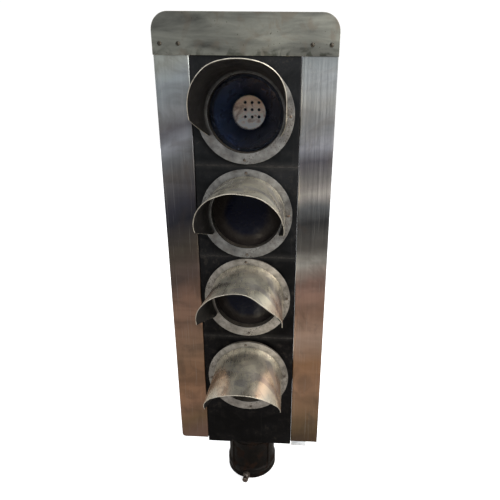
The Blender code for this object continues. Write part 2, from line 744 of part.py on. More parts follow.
def build_door(head, black, rubber, steel):
    add("door_gasket", door_gasket_mesh(), rubber, parent=head)
    axis = pivot("door_axis", (HINGE_X, HINGE_Y, 0), parent=head)
    half = CASING_W / 2
    panel = box_mesh(
        "rear_door",
        (-half - HINGE_X, DOOR_FRONT_Y - HINGE_Y, CASING_BOTTOM_Z),
        (half - HINGE_X, DOOR_BACK_Y - HINGE_Y, CASING_TOP_Z),
    )
    door = add("rear_door", panel, black, parent=axis)
    for name, side in SIDES:
        centre = side * DOOR_RIB_X - HINGE_X
        rib = box_mesh(
            f"door_rib_{name}",
            (centre - DOOR_RIB_W / 2, DOOR_T / 4, CASING_BOTTOM_Z + DOOR_RIB_W),
            (centre + DOOR_RIB_W / 2, DOOR_T / 2 + DOOR_RIB_T, CASING_TOP_Z - DOOR_RIB_W),
        )
        combine(door, helper(f"door_rib_{name}", rib, parent=axis), "UNION")

    hole = HINGE_PIN_R + RUN_GAP
    tall = HINGE_KNUCKLE_H
    outline = [(0, 0), (0, tall), (HINGE_KNUCKLE_R, tall), (HINGE_KNUCKLE_R, 0)]
    knuckle = lathe_mesh("knuckle", outline, 16)
    outline = [(0, -tall), (0, 3 * tall), (hole, 3 * tall), (hole, -tall)]
    bore = lathe_mesh("pin_bore", outline, 16)
    strap = box_mesh(
        "door_strap",
        (-HINGE_OUT * 2, -DOOR_T / 2, 0),
        (-HINGE_PIN_R, DOOR_T / 2, HINGE_KNUCKLE_H),
    )
    leaf_x = CASING_W / 2 + FIT_GAP - HINGE_X
    leaf = box_mesh(
        "hinge_leaf",
        (leaf_x, -HINGE_LEAF_D, 0),
        (leaf_x + HINGE_LEAF_T, 0, HINGE_KNUCKLE_H),
    )
    web = box_mesh(
        "hinge_web",
        (leaf_x, -HINGE_LEAF_T, 0),
        (-HINGE_PIN_R, 0, HINGE_KNUCKLE_H),
    )
    pin_top = 2 * HINGE_KNUCKLE_H + RUN_GAP
    pin = [
        (0, -HINGE_PIN_R),
        (HINGE_PIN_R, -HINGE_PIN_R),
        (HINGE_PIN_R, pin_top + FIT_GAP),
        (HINGE_PIN_R * 1.7, pin_top + FIT_GAP),
        (HINGE_PIN_R * 1.7, pin_top + FIT_GAP + HINGE_PIN_R),
        (0, pin_top + FIT_GAP + HINGE_PIN_R),
    ]
    pin = lathe_mesh("hinge_pin", pin, 16)
    for name, end_z, inward in ENDS:
        low = end_z + inward * HINGE_FROM_END - HINGE_KNUCKLE_H
        high = low + HINGE_KNUCKLE_H + RUN_GAP
        for shape, operation in ((knuckle, "UNION"), (strap, "UNION"), (bore, "DIFFERENCE")):
            tool = helper(f"door_{shape.name}_{name}", shape, (0, 0, high), parent=axis)
            combine(door, tool, operation)
        place = (HINGE_X, HINGE_Y, low)
        bracket = add(f"hinge_bracket_{name}", knuckle.copy(), steel, place, parent=head)
        for shape, operation in ((web, "UNION"), (leaf, "UNION"), (bore, "DIFFERENCE")):
            tool = helper(f"bracket_{shape.name}_{name}", shape, place, parent=head)
            combine(bracket, tool, operation)
        add(f"hinge_pin_{name}", pin, steel, place, parent=head)
    return door, axis


def build_latches(door, axis, steel):
    """Quarter-turn latches, their cams hanging down clear of the lip at rest."""
    cam_y = REAR_Y - CASING_WALL - FIT_GAP - LATCH_CAM_T
    shaft_t = DOOR_BACK_Y + FIT_GAP
    cam_hole = LATCH_SHAFT_R + FIT_GAP
    depth = shaft_t - cam_y + LATCH_CAM_T * 2
    shaft = lathe_mesh(
        "latch_handle",
        [
            (0, -LATCH_HUB_T),
            (LATCH_HUB_R * 0.85, -LATCH_HUB_T),
            (LATCH_HUB_R, -LATCH_HUB_T * 0.8),
            (LATCH_HUB_R, 0),
            (LATCH_SHAFT_R, 0),
            (LATCH_SHAFT_R, depth),
            (0, depth),
        ],
        20,
    )
    outline = bar_outline(LATCH_LEVER_L, LATCH_LEVER_W)
    lever = prism_mesh("lever", outline, -LATCH_HUB_T * 0.9, -LATCH_HUB_T * 0.3)
    outline = [(0, -depth), (0, depth), (cam_hole, depth), (cam_hole, -depth)]
    drill = lathe_mesh("latch_bore", outline, 16)
    outline = bar_outline(LATCH_CAM_L, LATCH_CAM_W, LATCH_SHAFT_R)
    cam_t = shaft_t - cam_y
    cam = prism_mesh("latch_cam", outline, cam_t - LATCH_CAM_T, cam_t)
    for name, end_z, inward in ENDS:
        place = (LATCH_X - HINGE_X, shaft_t - HINGE_Y, end_z + inward * LATCH_FROM_END)
        turn = pivot(f"latch_axis_{name}", place, FORWARD, axis)
        handle = add(f"latch_handle_{name}", shaft, steel, parent=turn)
        combine(handle, helper(f"lever_{name}", lever, parent=turn), "UNION")
        plate = add(f"latch_cam_{name}", cam, steel, parent=turn)
        hole = helper(f"latch_bore_{name}", drill, parent=turn)
        combine(plate, hole, "DIFFERENCE")
        combine(door, hole, "DIFFERENCE")


# ---------------------------------------------------------------- wiring fittings
def build_wiring(head, plastic):
    wide, deep, tall = TERMINAL_SIZE
    back = FRONT_Y + CASING_WALL + FIT_GAP
    low = CASING_BOTTOM_Z + TERMINAL_UP
    block = box_mesh("terminal_block", (-wide / 2, back, low), (wide / 2, back + deep, low + tall))
    add("terminal_block", block, plastic, parent=head)

    hex_top = -FIT_GAP
    hex_low = hex_top - GLAND_HEX_T
    cap_low = hex_low - GLAND_CAP_T
    cap_r = GLAND_HEX_ACROSS / 2
    thread_top = CASING_WALL + GLAND_HEX_T
    reach = 2 * thread_top
    body = lathe_mesh(
        "cable_gland",
        [
            (GLAND_BORE_R, cap_low),
            (GLAND_BORE_R, thread_top),
            (GLAND_R, thread_top),
            (GLAND_R, hex_top),
            (cap_r, hex_top),
            (cap_r, hex_low),
            (cap_r * 0.85, cap_low),
        ],
        18,
    )
    place = (GLAND_X, GLAND_Y, CASING_BOTTOM_Z)
    add("cable_gland", body, plastic, place, parent=head)
    nut_low = CASING_WALL + FIT_GAP
    nut = prism_mesh("gland_nut", hexagon(GLAND_HEX_ACROSS), nut_low, nut_low + GLAND_HEX_T / 2)
    gland_nut = add("gland_nut", nut, plastic, place, parent=head)
    hole = GLAND_R + FIT_GAP
    bore = lathe_mesh("gland_bore", [(0, 0), (0, reach), (hole, reach), (hole, 0)], 18)
    combine(gland_nut, helper("gland_bore", bore, place, parent=head), "DIFFERENCE")


def main():
    clear_scene()
    black = material("black_casing", (0.018, 0.018, 0.020), 0.0, 0.45)
    cast = material("cast_iron", (0.030, 0.025, 0.022), 0.6, 0.60)
    steel = material("steel", (0.30, 0.28, 0.26), 1.0, 0.40)
    sheet = material("bare_aluminium", (0.55, 0.53, 0.50), 1.0, 0.35)
    bright = material("bright_aluminium", (0.75, 0.75, 0.74), 1.0, 0.30)
    rubber = material("rubber", (0.015, 0.015, 0.015), 0.0, 0.80)
    plastic = material("grey_plastic", (0.20, 0.20, 0.20), 0.0, 0.50)
    looks = {
        "lens_bezel": material("black_bezel", (0.020, 0.020, 0.022), 0.0, 0.50),
        "lens_gasket": rubber,
        "lens": material("dark_lens", (0.020, 0.026, 0.045), 0.0, 0.10),
        "reflector": material("reflector", (0.15, 0.16, 0.20), 1.0, 0.20),
        "lamp_plate": material("cream_plate", (0.70, 0.60, 0.50), 0.0, 0.50),
        "lamp_module": material("module_black", (0.03, 0.03, 0.03), 0.0, 0.60),
        "visor": sheet,
    }
    swivel_bore = build_socket(cast, steel)
    head = pivot("swivel_axis", (0, 0, 0))
    build_casing(head, swivel_bore, black, cast)
    build_lamps(head, looks)
    build_backboard(head, sheet, bright, steel)
    door, axis = build_door(head, black, rubber, steel)
    build_latches(door, axis, steel)
    build_wiring(head, plastic)


main()
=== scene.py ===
"""Looks of a four-lamp traffic signal head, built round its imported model.

Metres, +Z up, front towards -Y. Lamp pieces are made lying on their backs, with local z
pointing out of the lamp and local y up, and are then turned to face the front.
"""

import math

import bmesh
import bpy
from mathutils import Matrix, Vector, noise


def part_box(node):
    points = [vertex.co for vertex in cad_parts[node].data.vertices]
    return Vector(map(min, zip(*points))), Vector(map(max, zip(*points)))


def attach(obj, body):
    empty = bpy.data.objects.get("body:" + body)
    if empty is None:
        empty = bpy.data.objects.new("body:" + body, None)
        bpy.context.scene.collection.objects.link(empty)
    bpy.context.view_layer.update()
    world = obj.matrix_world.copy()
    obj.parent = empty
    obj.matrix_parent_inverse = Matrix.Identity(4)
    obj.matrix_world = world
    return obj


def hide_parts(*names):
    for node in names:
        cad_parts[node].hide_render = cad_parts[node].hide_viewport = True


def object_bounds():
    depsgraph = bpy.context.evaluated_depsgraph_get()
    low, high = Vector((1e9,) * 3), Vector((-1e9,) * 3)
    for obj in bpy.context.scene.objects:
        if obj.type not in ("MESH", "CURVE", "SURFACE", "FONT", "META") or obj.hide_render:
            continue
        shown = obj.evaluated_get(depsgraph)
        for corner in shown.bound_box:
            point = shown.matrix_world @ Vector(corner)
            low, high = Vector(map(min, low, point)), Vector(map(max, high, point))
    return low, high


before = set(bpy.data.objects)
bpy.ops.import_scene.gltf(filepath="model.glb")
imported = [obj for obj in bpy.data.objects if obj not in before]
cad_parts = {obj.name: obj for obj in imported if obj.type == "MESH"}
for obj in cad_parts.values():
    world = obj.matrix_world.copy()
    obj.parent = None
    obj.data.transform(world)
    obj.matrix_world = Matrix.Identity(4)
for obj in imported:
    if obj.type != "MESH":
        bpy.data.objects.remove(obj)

CAD_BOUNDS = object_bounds()


def centre_of(node):
    low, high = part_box(node)
    return (low + high) / 2


def middle_height(node):
    low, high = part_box(node)
    return (low.z + high.z) / 2


# ---------------------------------------------------------------- sizes
LAMPS = (1, 2, 3, 4)
ENDS = ("upper", "lower")
FACING_FRONT = (math.pi / 2, 0, 0)
GAP = 0.0003  # left between pieces that lie on each other

CASING_LOW, CASING_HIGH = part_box("casing_shell")
FRONT_Y = CASING_LOW.y
LAMP_Z = {k: middle_height(f"lens_{k}") for k in LAMPS}
SEAM_Z = [(LAMP_Z[k] + LAMP_Z[k + 1]) / 2 for k in LAMPS[:-1]]
CASING_WALL = 0.004
CASING_LIP = 0.012
CASING_CHAMFER = 0.0015
APERTURE_R = 0.111
SWIVEL_HOLE_R = 0.0205
LEAD_HOLE_R = 0.0093
SEAM_HALF = 0.0012
SEAM_DEEP = 0.0014
SEAM_SLOPE = 0.0006

BEZEL_R = 0.130
BEZEL_FRONT = 0.0118
BEZEL_LIP_R = 0.1015
BEZEL_SPIGOT_R = 0.110
SEAL_FRONT = -0.0063
RING_BACK = 0.0121
SHEET = 0.002
RING_FRONT = RING_BACK + SHEET
RING_IN_R = 0.1035
RING_OUT_R = 0.133
RING_SCREW_R = 0.1225

HOOD_R = 0.1115
HOOD_RIM_R = 0.117
HOOD_SIDE_REACH = 0.160
HOOD_HEEL_REACH = 0.018
HOOD_CORNER = math.radians(93)
HOOD_HEEL = math.radians(120)
HOOD_ROUND_STEPS = 30
HOOD_HEEL_STEPS = 8
HOOD_LONG_STEPS = 14
HOOD_FLARE = 0.0022  # how much wider the sheet is in its last HOOD_FLARE_LONG
HOOD_FLARE_LONG = 0.004
HOOD_DENT = 0.0011
DENTS_ROUND = 3
DENTS_ALONG = 14
DENTS_APART = 5.3  # so that no two hoods have the same dents
# How far each hood's top reaches. Then what hands have done to its rim: bent out on the left, at the
# upper right and at the top. Last, how much longer its sheet is at the upper right.
HOODS = {
    1: {"top_reach": 0.236, "left": 0.001, "right": 0.016, "up": 0.008, "longer": 0.0},
    2: {"top_reach": 0.231, "left": 0.002, "right": 0.003, "up": 0.0, "longer": 0.0},
    3: {"top_reach": 0.208, "left": 0.010, "right": -0.007, "up": 0.002, "longer": 0.020},
    4: {"top_reach": 0.238, "left": 0.001, "right": 0.0, "up": 0.0, "longer": 0.004},
}

LENS_R = 0.1067
LENS_FRONT = -0.0096
LENS_T = 0.004
LENS_RISE = 0.014
LENS_EDGE = 0.0065
BOWL_FRONT = LENS_FRONT - LENS_T - GAP
BOWL_DEPTH = 0.082
BOWL_SHEET = 0.0018
PLATE_R = 0.047
PLATE_T = 0.014
PLATE_BACK = BOWL_FRONT - BOWL_DEPTH - GAP - PLATE_T / 2
PLATE_FRONT = PLATE_BACK + PLATE_T
HOLE_R = 0.0044
HOLE_DEEP = 0.006
HOLE_PITCH = 0.020
HOLE_SHIFT = 0.008
HOLDER_R = PLATE_R + 0.0075
HOLDER_LONG = 0.040

# Each wing: its name, its side, and how round its lower outer corner is.
WINGS = (("left", -1, 0.012), ("right", 1, 0.001))
WING_BEND = 0.0024
CAP_CORNER = 0.045
SHEET_RIPPLE = 0.0005
RIPPLES_ACROSS = 9
RIPPLES_UP = 6
RIVET_R = 0.0056
RIVET_TALL = 0.0032
RIVET_SHANK_R = 0.0024
RIVET_TAIL_R = 0.004

SOCKET_R = 0.08465
SOCKET_RIM_R = 0.08965
SOCKET_BORE_R = 0.07065
SOCKET_RIM_TALL = 0.040
SOCKET_NECK_R = 0.020
SOCKET_SHOULDER = 0.016
RIB_ANGLES = (-52.0, 50.0, 130.0, -130.0)
BOSS_R = 0.015
BOLT_R = 0.008
BOLT_REACH = 0.11965
BOLT_HEAD_TALL = 0.012
BOLT_HEAD_ACROSS = 0.019
BOLT_PITCH = 0.0015
CLAMP_AZIMUTH = math.radians(-7)
TERMINALS = 8

FLOOR_HALF = 9
FLOOR_GAP = 0.0004
FLOOR_SHOWN, FLOOR_GLOW = (0.8, 0.8, 0.8, 1), 0.62
FLOOR_CAST = (0.37, 0.345, 0.32, 1)  # what the floor throws up at the signal
CAMERA_AT = (0.14182, -1.30202, 1.23665)
CAMERA_LENS = 31.033
CAMERA_SHIFT = (-0.0545, -0.0111)
CAMERA_TURN, CAMERA_TILT, CAMERA_ROLL = 0.0424, 0.3472, 0.0143
# Each light: its name, its place, where it aims, its size, its power and its colour.
LIGHTS = (
    ("key", (2.1, -1.7, 1.7), (0, 0, 0.7), 1.2, 74, (1.0, 0.97, 0.93)),
    ("fill", (-2.0, -1.9, 1.1), (0, 0, 0.6), 0.8, 9, (0.92, 0.96, 1.0)),
    ("top", (0.9, -0.9, 2.9), (0, -0.15, 0.7), 0.9, 26, (1.0, 0.98, 0.94)),
    ("back", (-1.2, 2.6, 2.2), (0, 0, 0.7), 2.0, 40, (1.0, 1.0, 1.0)),
)

# Colours up each wing, stains and painted reflections together: a share of WING_SCALE above the
# casing's foot, then red, green and blue.
WING_SCALE = 1.4
WING_LEFT = (
    (0.045, 128, 104, 92),
    (0.090, 118, 97, 76),
    (0.140, 142, 111, 91),
    (0.200, 164, 127, 100),
    (0.280, 134, 109, 90),
    (0.440, 146, 117, 102),
    (0.485, 101, 87, 82),
    (0.560, 85, 79, 72),
    (0.620, 52, 53, 60),
    (0.650, 69, 69, 78),
    (0.715, 101, 99, 99),
    (0.750, 110, 112, 115),
    (0.780, 150, 153, 160),
    (0.810, 106, 105, 110),
    (0.840, 137, 139, 141),
    (0.900, 152, 159, 163),
    (0.930, 151, 155, 150),
)
WING_RIGHT = (
    (0.045, 92, 76, 60),
    (0.090, 108, 91, 70),
    (0.200, 158, 125, 101),
    (0.270, 140, 109, 85),
    (0.335, 162, 139, 124),
    (0.400, 138, 112, 97),
    (0.480, 141, 115, 106),
    (0.530, 151, 150, 145),
    (0.560, 97, 95, 92),
    (0.615, 64, 65, 67),
    (0.650, 105, 108, 111),
    (0.680, 166, 162, 158),
    (0.715, 122, 120, 120),
    (0.750, 95, 94, 100),
    (0.780, 150, 152, 160),
    (0.810, 134, 137, 141),
    (0.860, 145, 146, 145),
    (0.900, 157, 162, 166),
    (0.930, 134, 139, 141),
)


# ---------------------------------------------------------------- node helpers
def put(kind, inputs=(), tree=None, **settings):
    """Adds a node, sets it up, and fills its inputs with numbers or other nodes' outputs.

    It goes into the tree of the nodes that feed it, unless a tree is given.
    """
    inputs = dict(inputs)
    wires = {key: value for key, value in inputs.items() if isinstance(value, bpy.types.NodeSocket)}
    tree = tree or next(iter(wires.values())).id_data
    node = tree.nodes.new("ShaderNode" + kind)
    for key, value in settings.items():
        setattr(node, key, value)
    for key, value in inputs.items():
        if key in wires:
            tree.links.new(value, node.inputs[key])
        else:
            node.inputs[key].default_value = value
    return node


def sums(operation, one, two=0.0, clamp=False):
    return put("Math", {0: one, 1: two}, operation=operation, use_clamp=clamp).outputs[0]


def plus(one, two):
    return sums("ADD", one, two)


def minus(one, two):
    return sums("SUBTRACT", one, two)


def times(one, two, clamp=False):
    return sums("MULTIPLY", one, two, clamp)


def between(value, low, high, out_low=0.0, out_high=1.0):
    """Maps low..high to out_low..out_high and holds the ends."""
    inputs = {0: value, 1: low, 2: high, 3: out_low, 4: out_high}
    return put("MapRange", inputs, interpolation_type="SMOOTHSTEP").outputs[0]


def over(share, under, upper, how="MIX"):
    """Lays one colour over another by a share. A Mix node keeps its colours in inputs 6 and 7."""
    inputs = {0: share, 6: under, 7: upper}
    return put("Mix", inputs, data_type="RGBA", blend_type=how).outputs[2]


def stretched(where, by, turn=(0, 0, 0)):
    return put("Mapping", {"Vector": where, "Scale": by, "Rotation": turn}).outputs[0]


def cloud(where, scale, detail=4.0, rough=0.55, twist=0.0, turn=(0, 0, 0)):
    """Noise from 0 to 1. A scale of three numbers stretches it along the piece's own axes."""
    if isinstance(scale, tuple):
        where, scale = stretched(where, scale, turn), 1.0
    inputs = {"Vector": where, "Scale": scale, "Detail": detail}
    inputs.update({"Roughness": rough, "Distortion": twist})
    return put("TexNoise", inputs).outputs["Fac"]


def axes(vector):
    return put("SeparateXYZ", {0: vector}).outputs


def bands(value, *stops):
    """A run of colours along a value from 0 to 1, from stops of (place, colour) in order."""
    node = put("ValToRGB", {0: value})
    ramp = node.color_ramp.elements
    for end, (at, colour) in zip(ramp, (stops[0], stops[-1])):
        end.position = at
        end.color = colour
    for at, colour in stops[1:-1]:
        ramp.new(at).color = colour
    return node.outputs[0]


def tint(red, green, blue, gain=1.0):
    """A colour from screen values of 0 to 255."""
    return (*(((v / 255) ** 2.2) * gain for v in (red, green, blue)), 1.0)


def effect(name, fill, output="Mask", **inputs):
    """A shared effect: a node group that takes a place and named numbers and gives one mask."""
    tree = bpy.data.node_groups.new(name, "ShaderNodeTree")
    tree.interface.new_socket("Where", in_out="INPUT", socket_type="NodeSocketVector")
    for label, value in inputs.items():
        socket = tree.interface.new_socket(label, in_out="INPUT", socket_type="NodeSocketFloat")
        socket.default_value = value
    tree.interface.new_socket(output, in_out="OUTPUT", socket_type="NodeSocketFloat")
    given = tree.nodes.new("NodeGroupInput").outputs
    tree.links.new(fill(given), tree.nodes.new("NodeGroupOutput").inputs[0])
    return tree


def use(group, where, **values):
    """Places a shared effect, with this finish's own values."""
    return put("Group", {"Where": where, **values}, node_tree=group).outputs[0]


# ---------------------------------------------------------------- shared effects
# Lighter edges: worn metal, and on the wings also a painted highlight along the bend.
def fill_edge_wear_and_highlight(given):
    rounded = put("Bevel", {"Radius": given["Radius"]}, samples=4).outputs[0]
    true = put("NewGeometry", tree=given["Where"].id_data).outputs["Normal"]
    facing = put("VectorMath", {0: rounded, 1: true}, operation="DOT_PRODUCT")
    edge = between(minus(1.0, facing.outputs["Value"]), 0.01, 0.16)
    chips = between(cloud(given["Where"], given["Chips"], 6, 0.7), 0.40, 0.62)
    return times(times(edge, chips), given["Amount"], True)


def fill_brushing(given):
    """Fine parallel lines of two widths along the piece's own z."""
    fine = cloud(given["Where"], (1400, 1400, 9), 3, 0.6)
    broad = cloud(given["Where"], (170, 170, 2.2), 4, 0.6)
    return plus(times(fine, 0.55), times(broad, 0.45))


def fill_smudges(given):
    wide = cloud(given["Where"], given["Scale"], 5, 0.55, 1.2)
    return between(wide, given["From"], given["To"])


def fill_scratches(given):
    """Thin lines in three directions, each with its own length."""
    found = None
    for turn, along in (((0.3, 0.2, 0.5), 5), ((1.2, 0.5, -0.6), 7), ((-0.7, 1.1, 0.2), 4)):
        lines = cloud(given["Where"], (420, 420, along), 1, 0.4, turn=turn)
        line = between(lines, 0.70, 0.76)
        found = line if found is None else sums("MAXIMUM", found, line)
    return times(found, given["Amount"])


def fill_pits(given):
    inputs = {"Vector": given["Where"], "Scale": given["Scale"]}
    spots = put("TexVoronoi", inputs).outputs["Distance"]
    patches = between(cloud(given["Where"], 14.0, 3, 0.6), 0.42, 0.60, 0.02, 1.0)
    return sums("LESS_THAN", spots, times(patches, given["Size"]))


def fill_crevice_darkening(given):
    """Darkening where surfaces close in on each other, found by ambient occlusion."""
    open_sky = put("AmbientOcclusion", {"Distance": given["Reach"]}, samples=6).outputs["AO"]
    shut = between(minus(1.0, open_sky), 0.10, 0.75)
    broken = between(cloud(given["Where"], 22.0, 5, 0.65), 0.25, 0.65, 0.45, 1.0)
    return times(times(shut, broken), given["Amount"], True)


def fill_dust(given):
    """Dust that settles on faces that look up."""
    normal = put("NewGeometry", tree=given["Where"].id_data).outputs["Normal"]
    up = axes(normal)["Z"]
    settled = between(up, 0.05, 0.95)
    broken = between(cloud(given["Where"], 30.0, 6, 0.7), 0.30, 0.70, 0.35, 1.0)
    return times(times(settled, broken), given["Amount"], True)


EDGE_WEAR_AND_HIGHLIGHT = effect("edge wear and highlight", fill_edge_wear_and_highlight, Radius=0.002, Chips=60.0, Amount=1.0)
BRUSHING = effect("brushing", fill_brushing, "Grain")
SMUDGES = effect("smudges", fill_smudges, Scale=8.0, From=0.40, To=0.60)
SCRATCHES = effect("scratches", fill_scratches, Amount=1.0)
PITS = effect("pits", fill_pits, Scale=260.0, Size=0.3)
CREVICE_DARKENING = effect("crevice darkening", fill_crevice_darkening, Reach=0.02, Amount=1.0)
DUST = effect("dust", fill_dust, Amount=1.0)


# ---------------------------------------------------------------- finishes
class Finish:
    """A finish while it is being made: its nodes, its shader and the colour laid so far."""

    def __init__(self, name, metallic, roughness, **constants):
        self.made = bpy.data.materials.new(name)
        self.made.use_nodes = True
        self.tree = self.made.node_tree
        self.shader = self.tree.nodes["Principled BSDF"]
        constants.update({"Metallic": metallic, "Roughness": roughness})
        for key, value in constants.items():
            self.shader.inputs[key.replace("_", " ")].default_value = value
        self.where = put("TexCoord", tree=self.tree).outputs["Object"]
        self.colour = None

    def lay(self, mask, shade, share=None):
        """Lays a shade over the colour where a mask shows, or by a share of it."""
        if share is not None:
            mask = times(mask, share)
        self.colour = over(mask, self.colour, shade)

    def mark(self, group, shade, share=None, where=None, **values):
        """Lays a shade where a shared effect shows, and gives back the effect's mask."""
        mask = use(group, where or self.where, **values)
        self.lay(mask, shade, share)
        return mask

    def scale(self, by):
        """Makes the colour lighter or darker by an amount that changes over the piece."""
        grey = put("CombineColor", {0: by, 1: by, 2: by}).outputs[0]
        self.colour = over(1.0, self.colour, grey, "MULTIPLY")

    def done(self, roughness, height=None, depth=0.0002, metallic=None):
        """Joins the colour and the rest to the shader, and gives back the finished material."""
        wires = (("Base Color", self.colour), ("Roughness", roughness), ("Metallic", metallic))
        for key, value in wires:
            if value is not None:
                self.tree.links.new(value, self.shader.inputs[key])
        if height is not None:
            bump = put("Bump", {"Height": height, "Distance": depth, "Strength": 0.9})
            self.tree.links.new(bump.outputs[0], self.shader.inputs["Normal"])
        return self.made


def begin(name, metallic=0.0, roughness=0.5, **constants):
    finish = Finish(name, metallic, roughness, **constants)
    return finish, finish.where


def wing_finish(name, colours, middle, drift):
    """Bare brushed sheet whose stains and painted reflections change down its height, under bands of
    painted sheen.
    """
    finish, where = begin(name, 0.9, 0.4)
    place = axes(where)
    wander = cloud(where, (7, 7, 5), 3, 0.5, 0.6)
    lean = times(minus(place["X"], middle), drift)
    level = plus(place["Z"], times(wander, 0.06))
    level = minus(plus(level, lean), 0.03)
    # Bands of stain and painted reflection up the sheet, leaning across it.
    stops = [(at, tint(*shade)) for at, *shade in colours]
    finish.colour = bands(sums("DIVIDE", level, WING_SCALE), *stops)
    grain = use(BRUSHING, where)
    streaks = between(grain, 0.36, 0.64, 0.91, 1.06)
    # Soft diagonal bands of painted sheen over the brushed streaks.
    painted_sheen = cloud(where, (2.5, 1, 15), 3, 0.5, 0.8, (0, 0.25, 0))
    finish.scale(times(streaks, between(painted_sheen, 0.34, 0.66, 0.87, 1.12)))
    marks = finish.mark(SMUDGES, tint(74, 66, 60), 0.35, Scale=9.0, From=0.46, To=0.66)
    finish.mark(SCRATCHES, tint(190, 188, 182), Amount=0.16)
    finish.mark(CREVICE_DARKENING, tint(38, 33, 29), Reach=0.014, Amount=0.7)
    # Worn edges, which also paint a highlight line along the bent inner edge.
    finish.mark(EDGE_WEAR_AND_HIGHLIGHT, tint(205, 203, 198), Radius=0.0022, Chips=25.0, Amount=0.9)
    rough = plus(between(grain, 0.35, 0.65, 0.30, 0.50), times(marks, 0.12))
    return finish.done(rough, grain, 0.00006)


def hood_finish():
    """Bare rolled sheet, warm and smudged, with warm and violet patches that are partly patina and
    partly painted sheen, brushed along its length.
    """
    finish, where = begin("rolled hood sheet", 0.90, 0.34)
    grain = use(BRUSHING, where)
    wide = cloud(where, (9, 9, 6), 4, 0.55, 0.8)
    dark, plain, pale = tint(148, 143, 131), tint(230, 221, 199), tint(255, 249, 228)
    finish.colour = bands(wide, (0.30, dark), (0.48, plain), (0.62, pale))
    # Warm and violet patches: partly patina, partly painted sheen.
    finish.mark(SMUDGES, tint(202, 190, 176), 0.40, Scale=11.0, From=0.48, To=0.64)
    elsewhere = stretched(where, (1, 1, 1), (0.8, 0.4, 2.0))
    finish.mark(SMUDGES, tint(150, 146, 156), 0.45, elsewhere, Scale=9.0, From=0.50, To=0.62)
    finish.mark(SMUDGES, tint(104, 96, 86), 0.35, Scale=16.0, From=0.52, To=0.70)
    finish.mark(SCRATCHES, tint(214, 208, 198), Amount=0.35)
    finish.mark(PITS, tint(66, 54, 44), 0.55, Scale=170.0, Size=0.20)
    finish.mark(CREVICE_DARKENING, tint(52, 45, 39), Reach=0.016, Amount=0.6)
    rough = between(plus(grain, wide), 0.75, 1.25, 0.20, 0.36)
    return finish.done(rough, grain, 0.00005)


def hood_lining_finish():
    """Worn matt black inside the hoods."""
    finish, where = begin("hood lining", 0.1, 0.55, Specular_IOR_Level=0.3)
    wide = cloud(where, 12.0, 5, 0.6, 0.5)
    finish.colour = bands(wide, (0.30, tint(14, 14, 14)), (0.70, tint(34, 32, 31)))
    finish.mark(SCRATCHES, tint(96, 93, 88), Amount=0.25)
    finish.mark(DUST, tint(92, 84, 74), Amount=0.15)
    return finish.done(between(wide, 0.3, 0.7, 0.42, 0.66), wide, 0.0002)


def ring_finish(name, dark, light):
    """Grey flange rings and hood rims, pitted and stained."""
    finish, where = begin(name, 0.75, 0.48)
    mottle = cloud(where, 34.0, 6, 0.68, 0.3)
    finish.colour = bands(mottle, (0.32, dark), (0.66, light))
    finish.mark(PITS, tint(58, 52, 48), 0.7, Scale=210.0, Size=0.34)
    finish.mark(SMUDGES, tint(98, 90, 82), 0.35, Scale=20.0, From=0.50, To=0.70)
    finish.mark(CREVICE_DARKENING, tint(36, 32, 30), Reach=0.012, Amount=0.75)
    finish.mark(EDGE_WEAR_AND_HIGHLIGHT, tint(200, 197, 190), Radius=0.0015, Chips=70.0, Amount=0.8)
    return finish.done(between(mottle, 0.3, 0.7, 0.38, 0.60), mottle, 0.00025)


def cap_finish():
    """Dull olive-grey sheet with brown water marks, wiped streaks and stains along its foot."""
    finish, where = begin("cap sheet", 0.85, 0.42)
    wiped = cloud(where, (6, 6, 26), 5, 0.6, 0.5, (0, 0.12, 0))
    dark, plain, pale = tint(93, 93, 89), tint(120, 121, 114), tint(136, 137, 129)
    finish.colour = bands(wiped, (0.30, dark), (0.52, plain), (0.72, pale))
    finish.mark(SMUDGES, tint(112, 103, 92), 0.5, Scale=15.0, From=0.48, To=0.66)
    finish.mark(PITS, tint(62, 54, 46), 0.6, Scale=90.0, Size=0.12)
    place = axes(where)
    finish.scale(between(place["X"], -0.20, 0.15, 0.80, 1.0))
    foot = plus(place["Z"], times(wiped, 0.05))
    foot = between(foot, 1.335, 1.365, 1.0, 0.0)
    leak = use(SMUDGES, where, Scale=28.0, From=0.44, To=0.58)
    finish.lay(times(leak, foot), tint(52, 54, 46), 0.75)
    finish.mark(CREVICE_DARKENING, tint(40, 35, 30), Reach=0.010, Amount=0.8)
    finish.mark(EDGE_WEAR_AND_HIGHLIGHT, tint(178, 164, 142), Radius=0.0020, Chips=30.0, Amount=0.8)
    return finish.done(between(wiped, 0.3, 0.7, 0.34, 0.54), wiped, 0.0002)


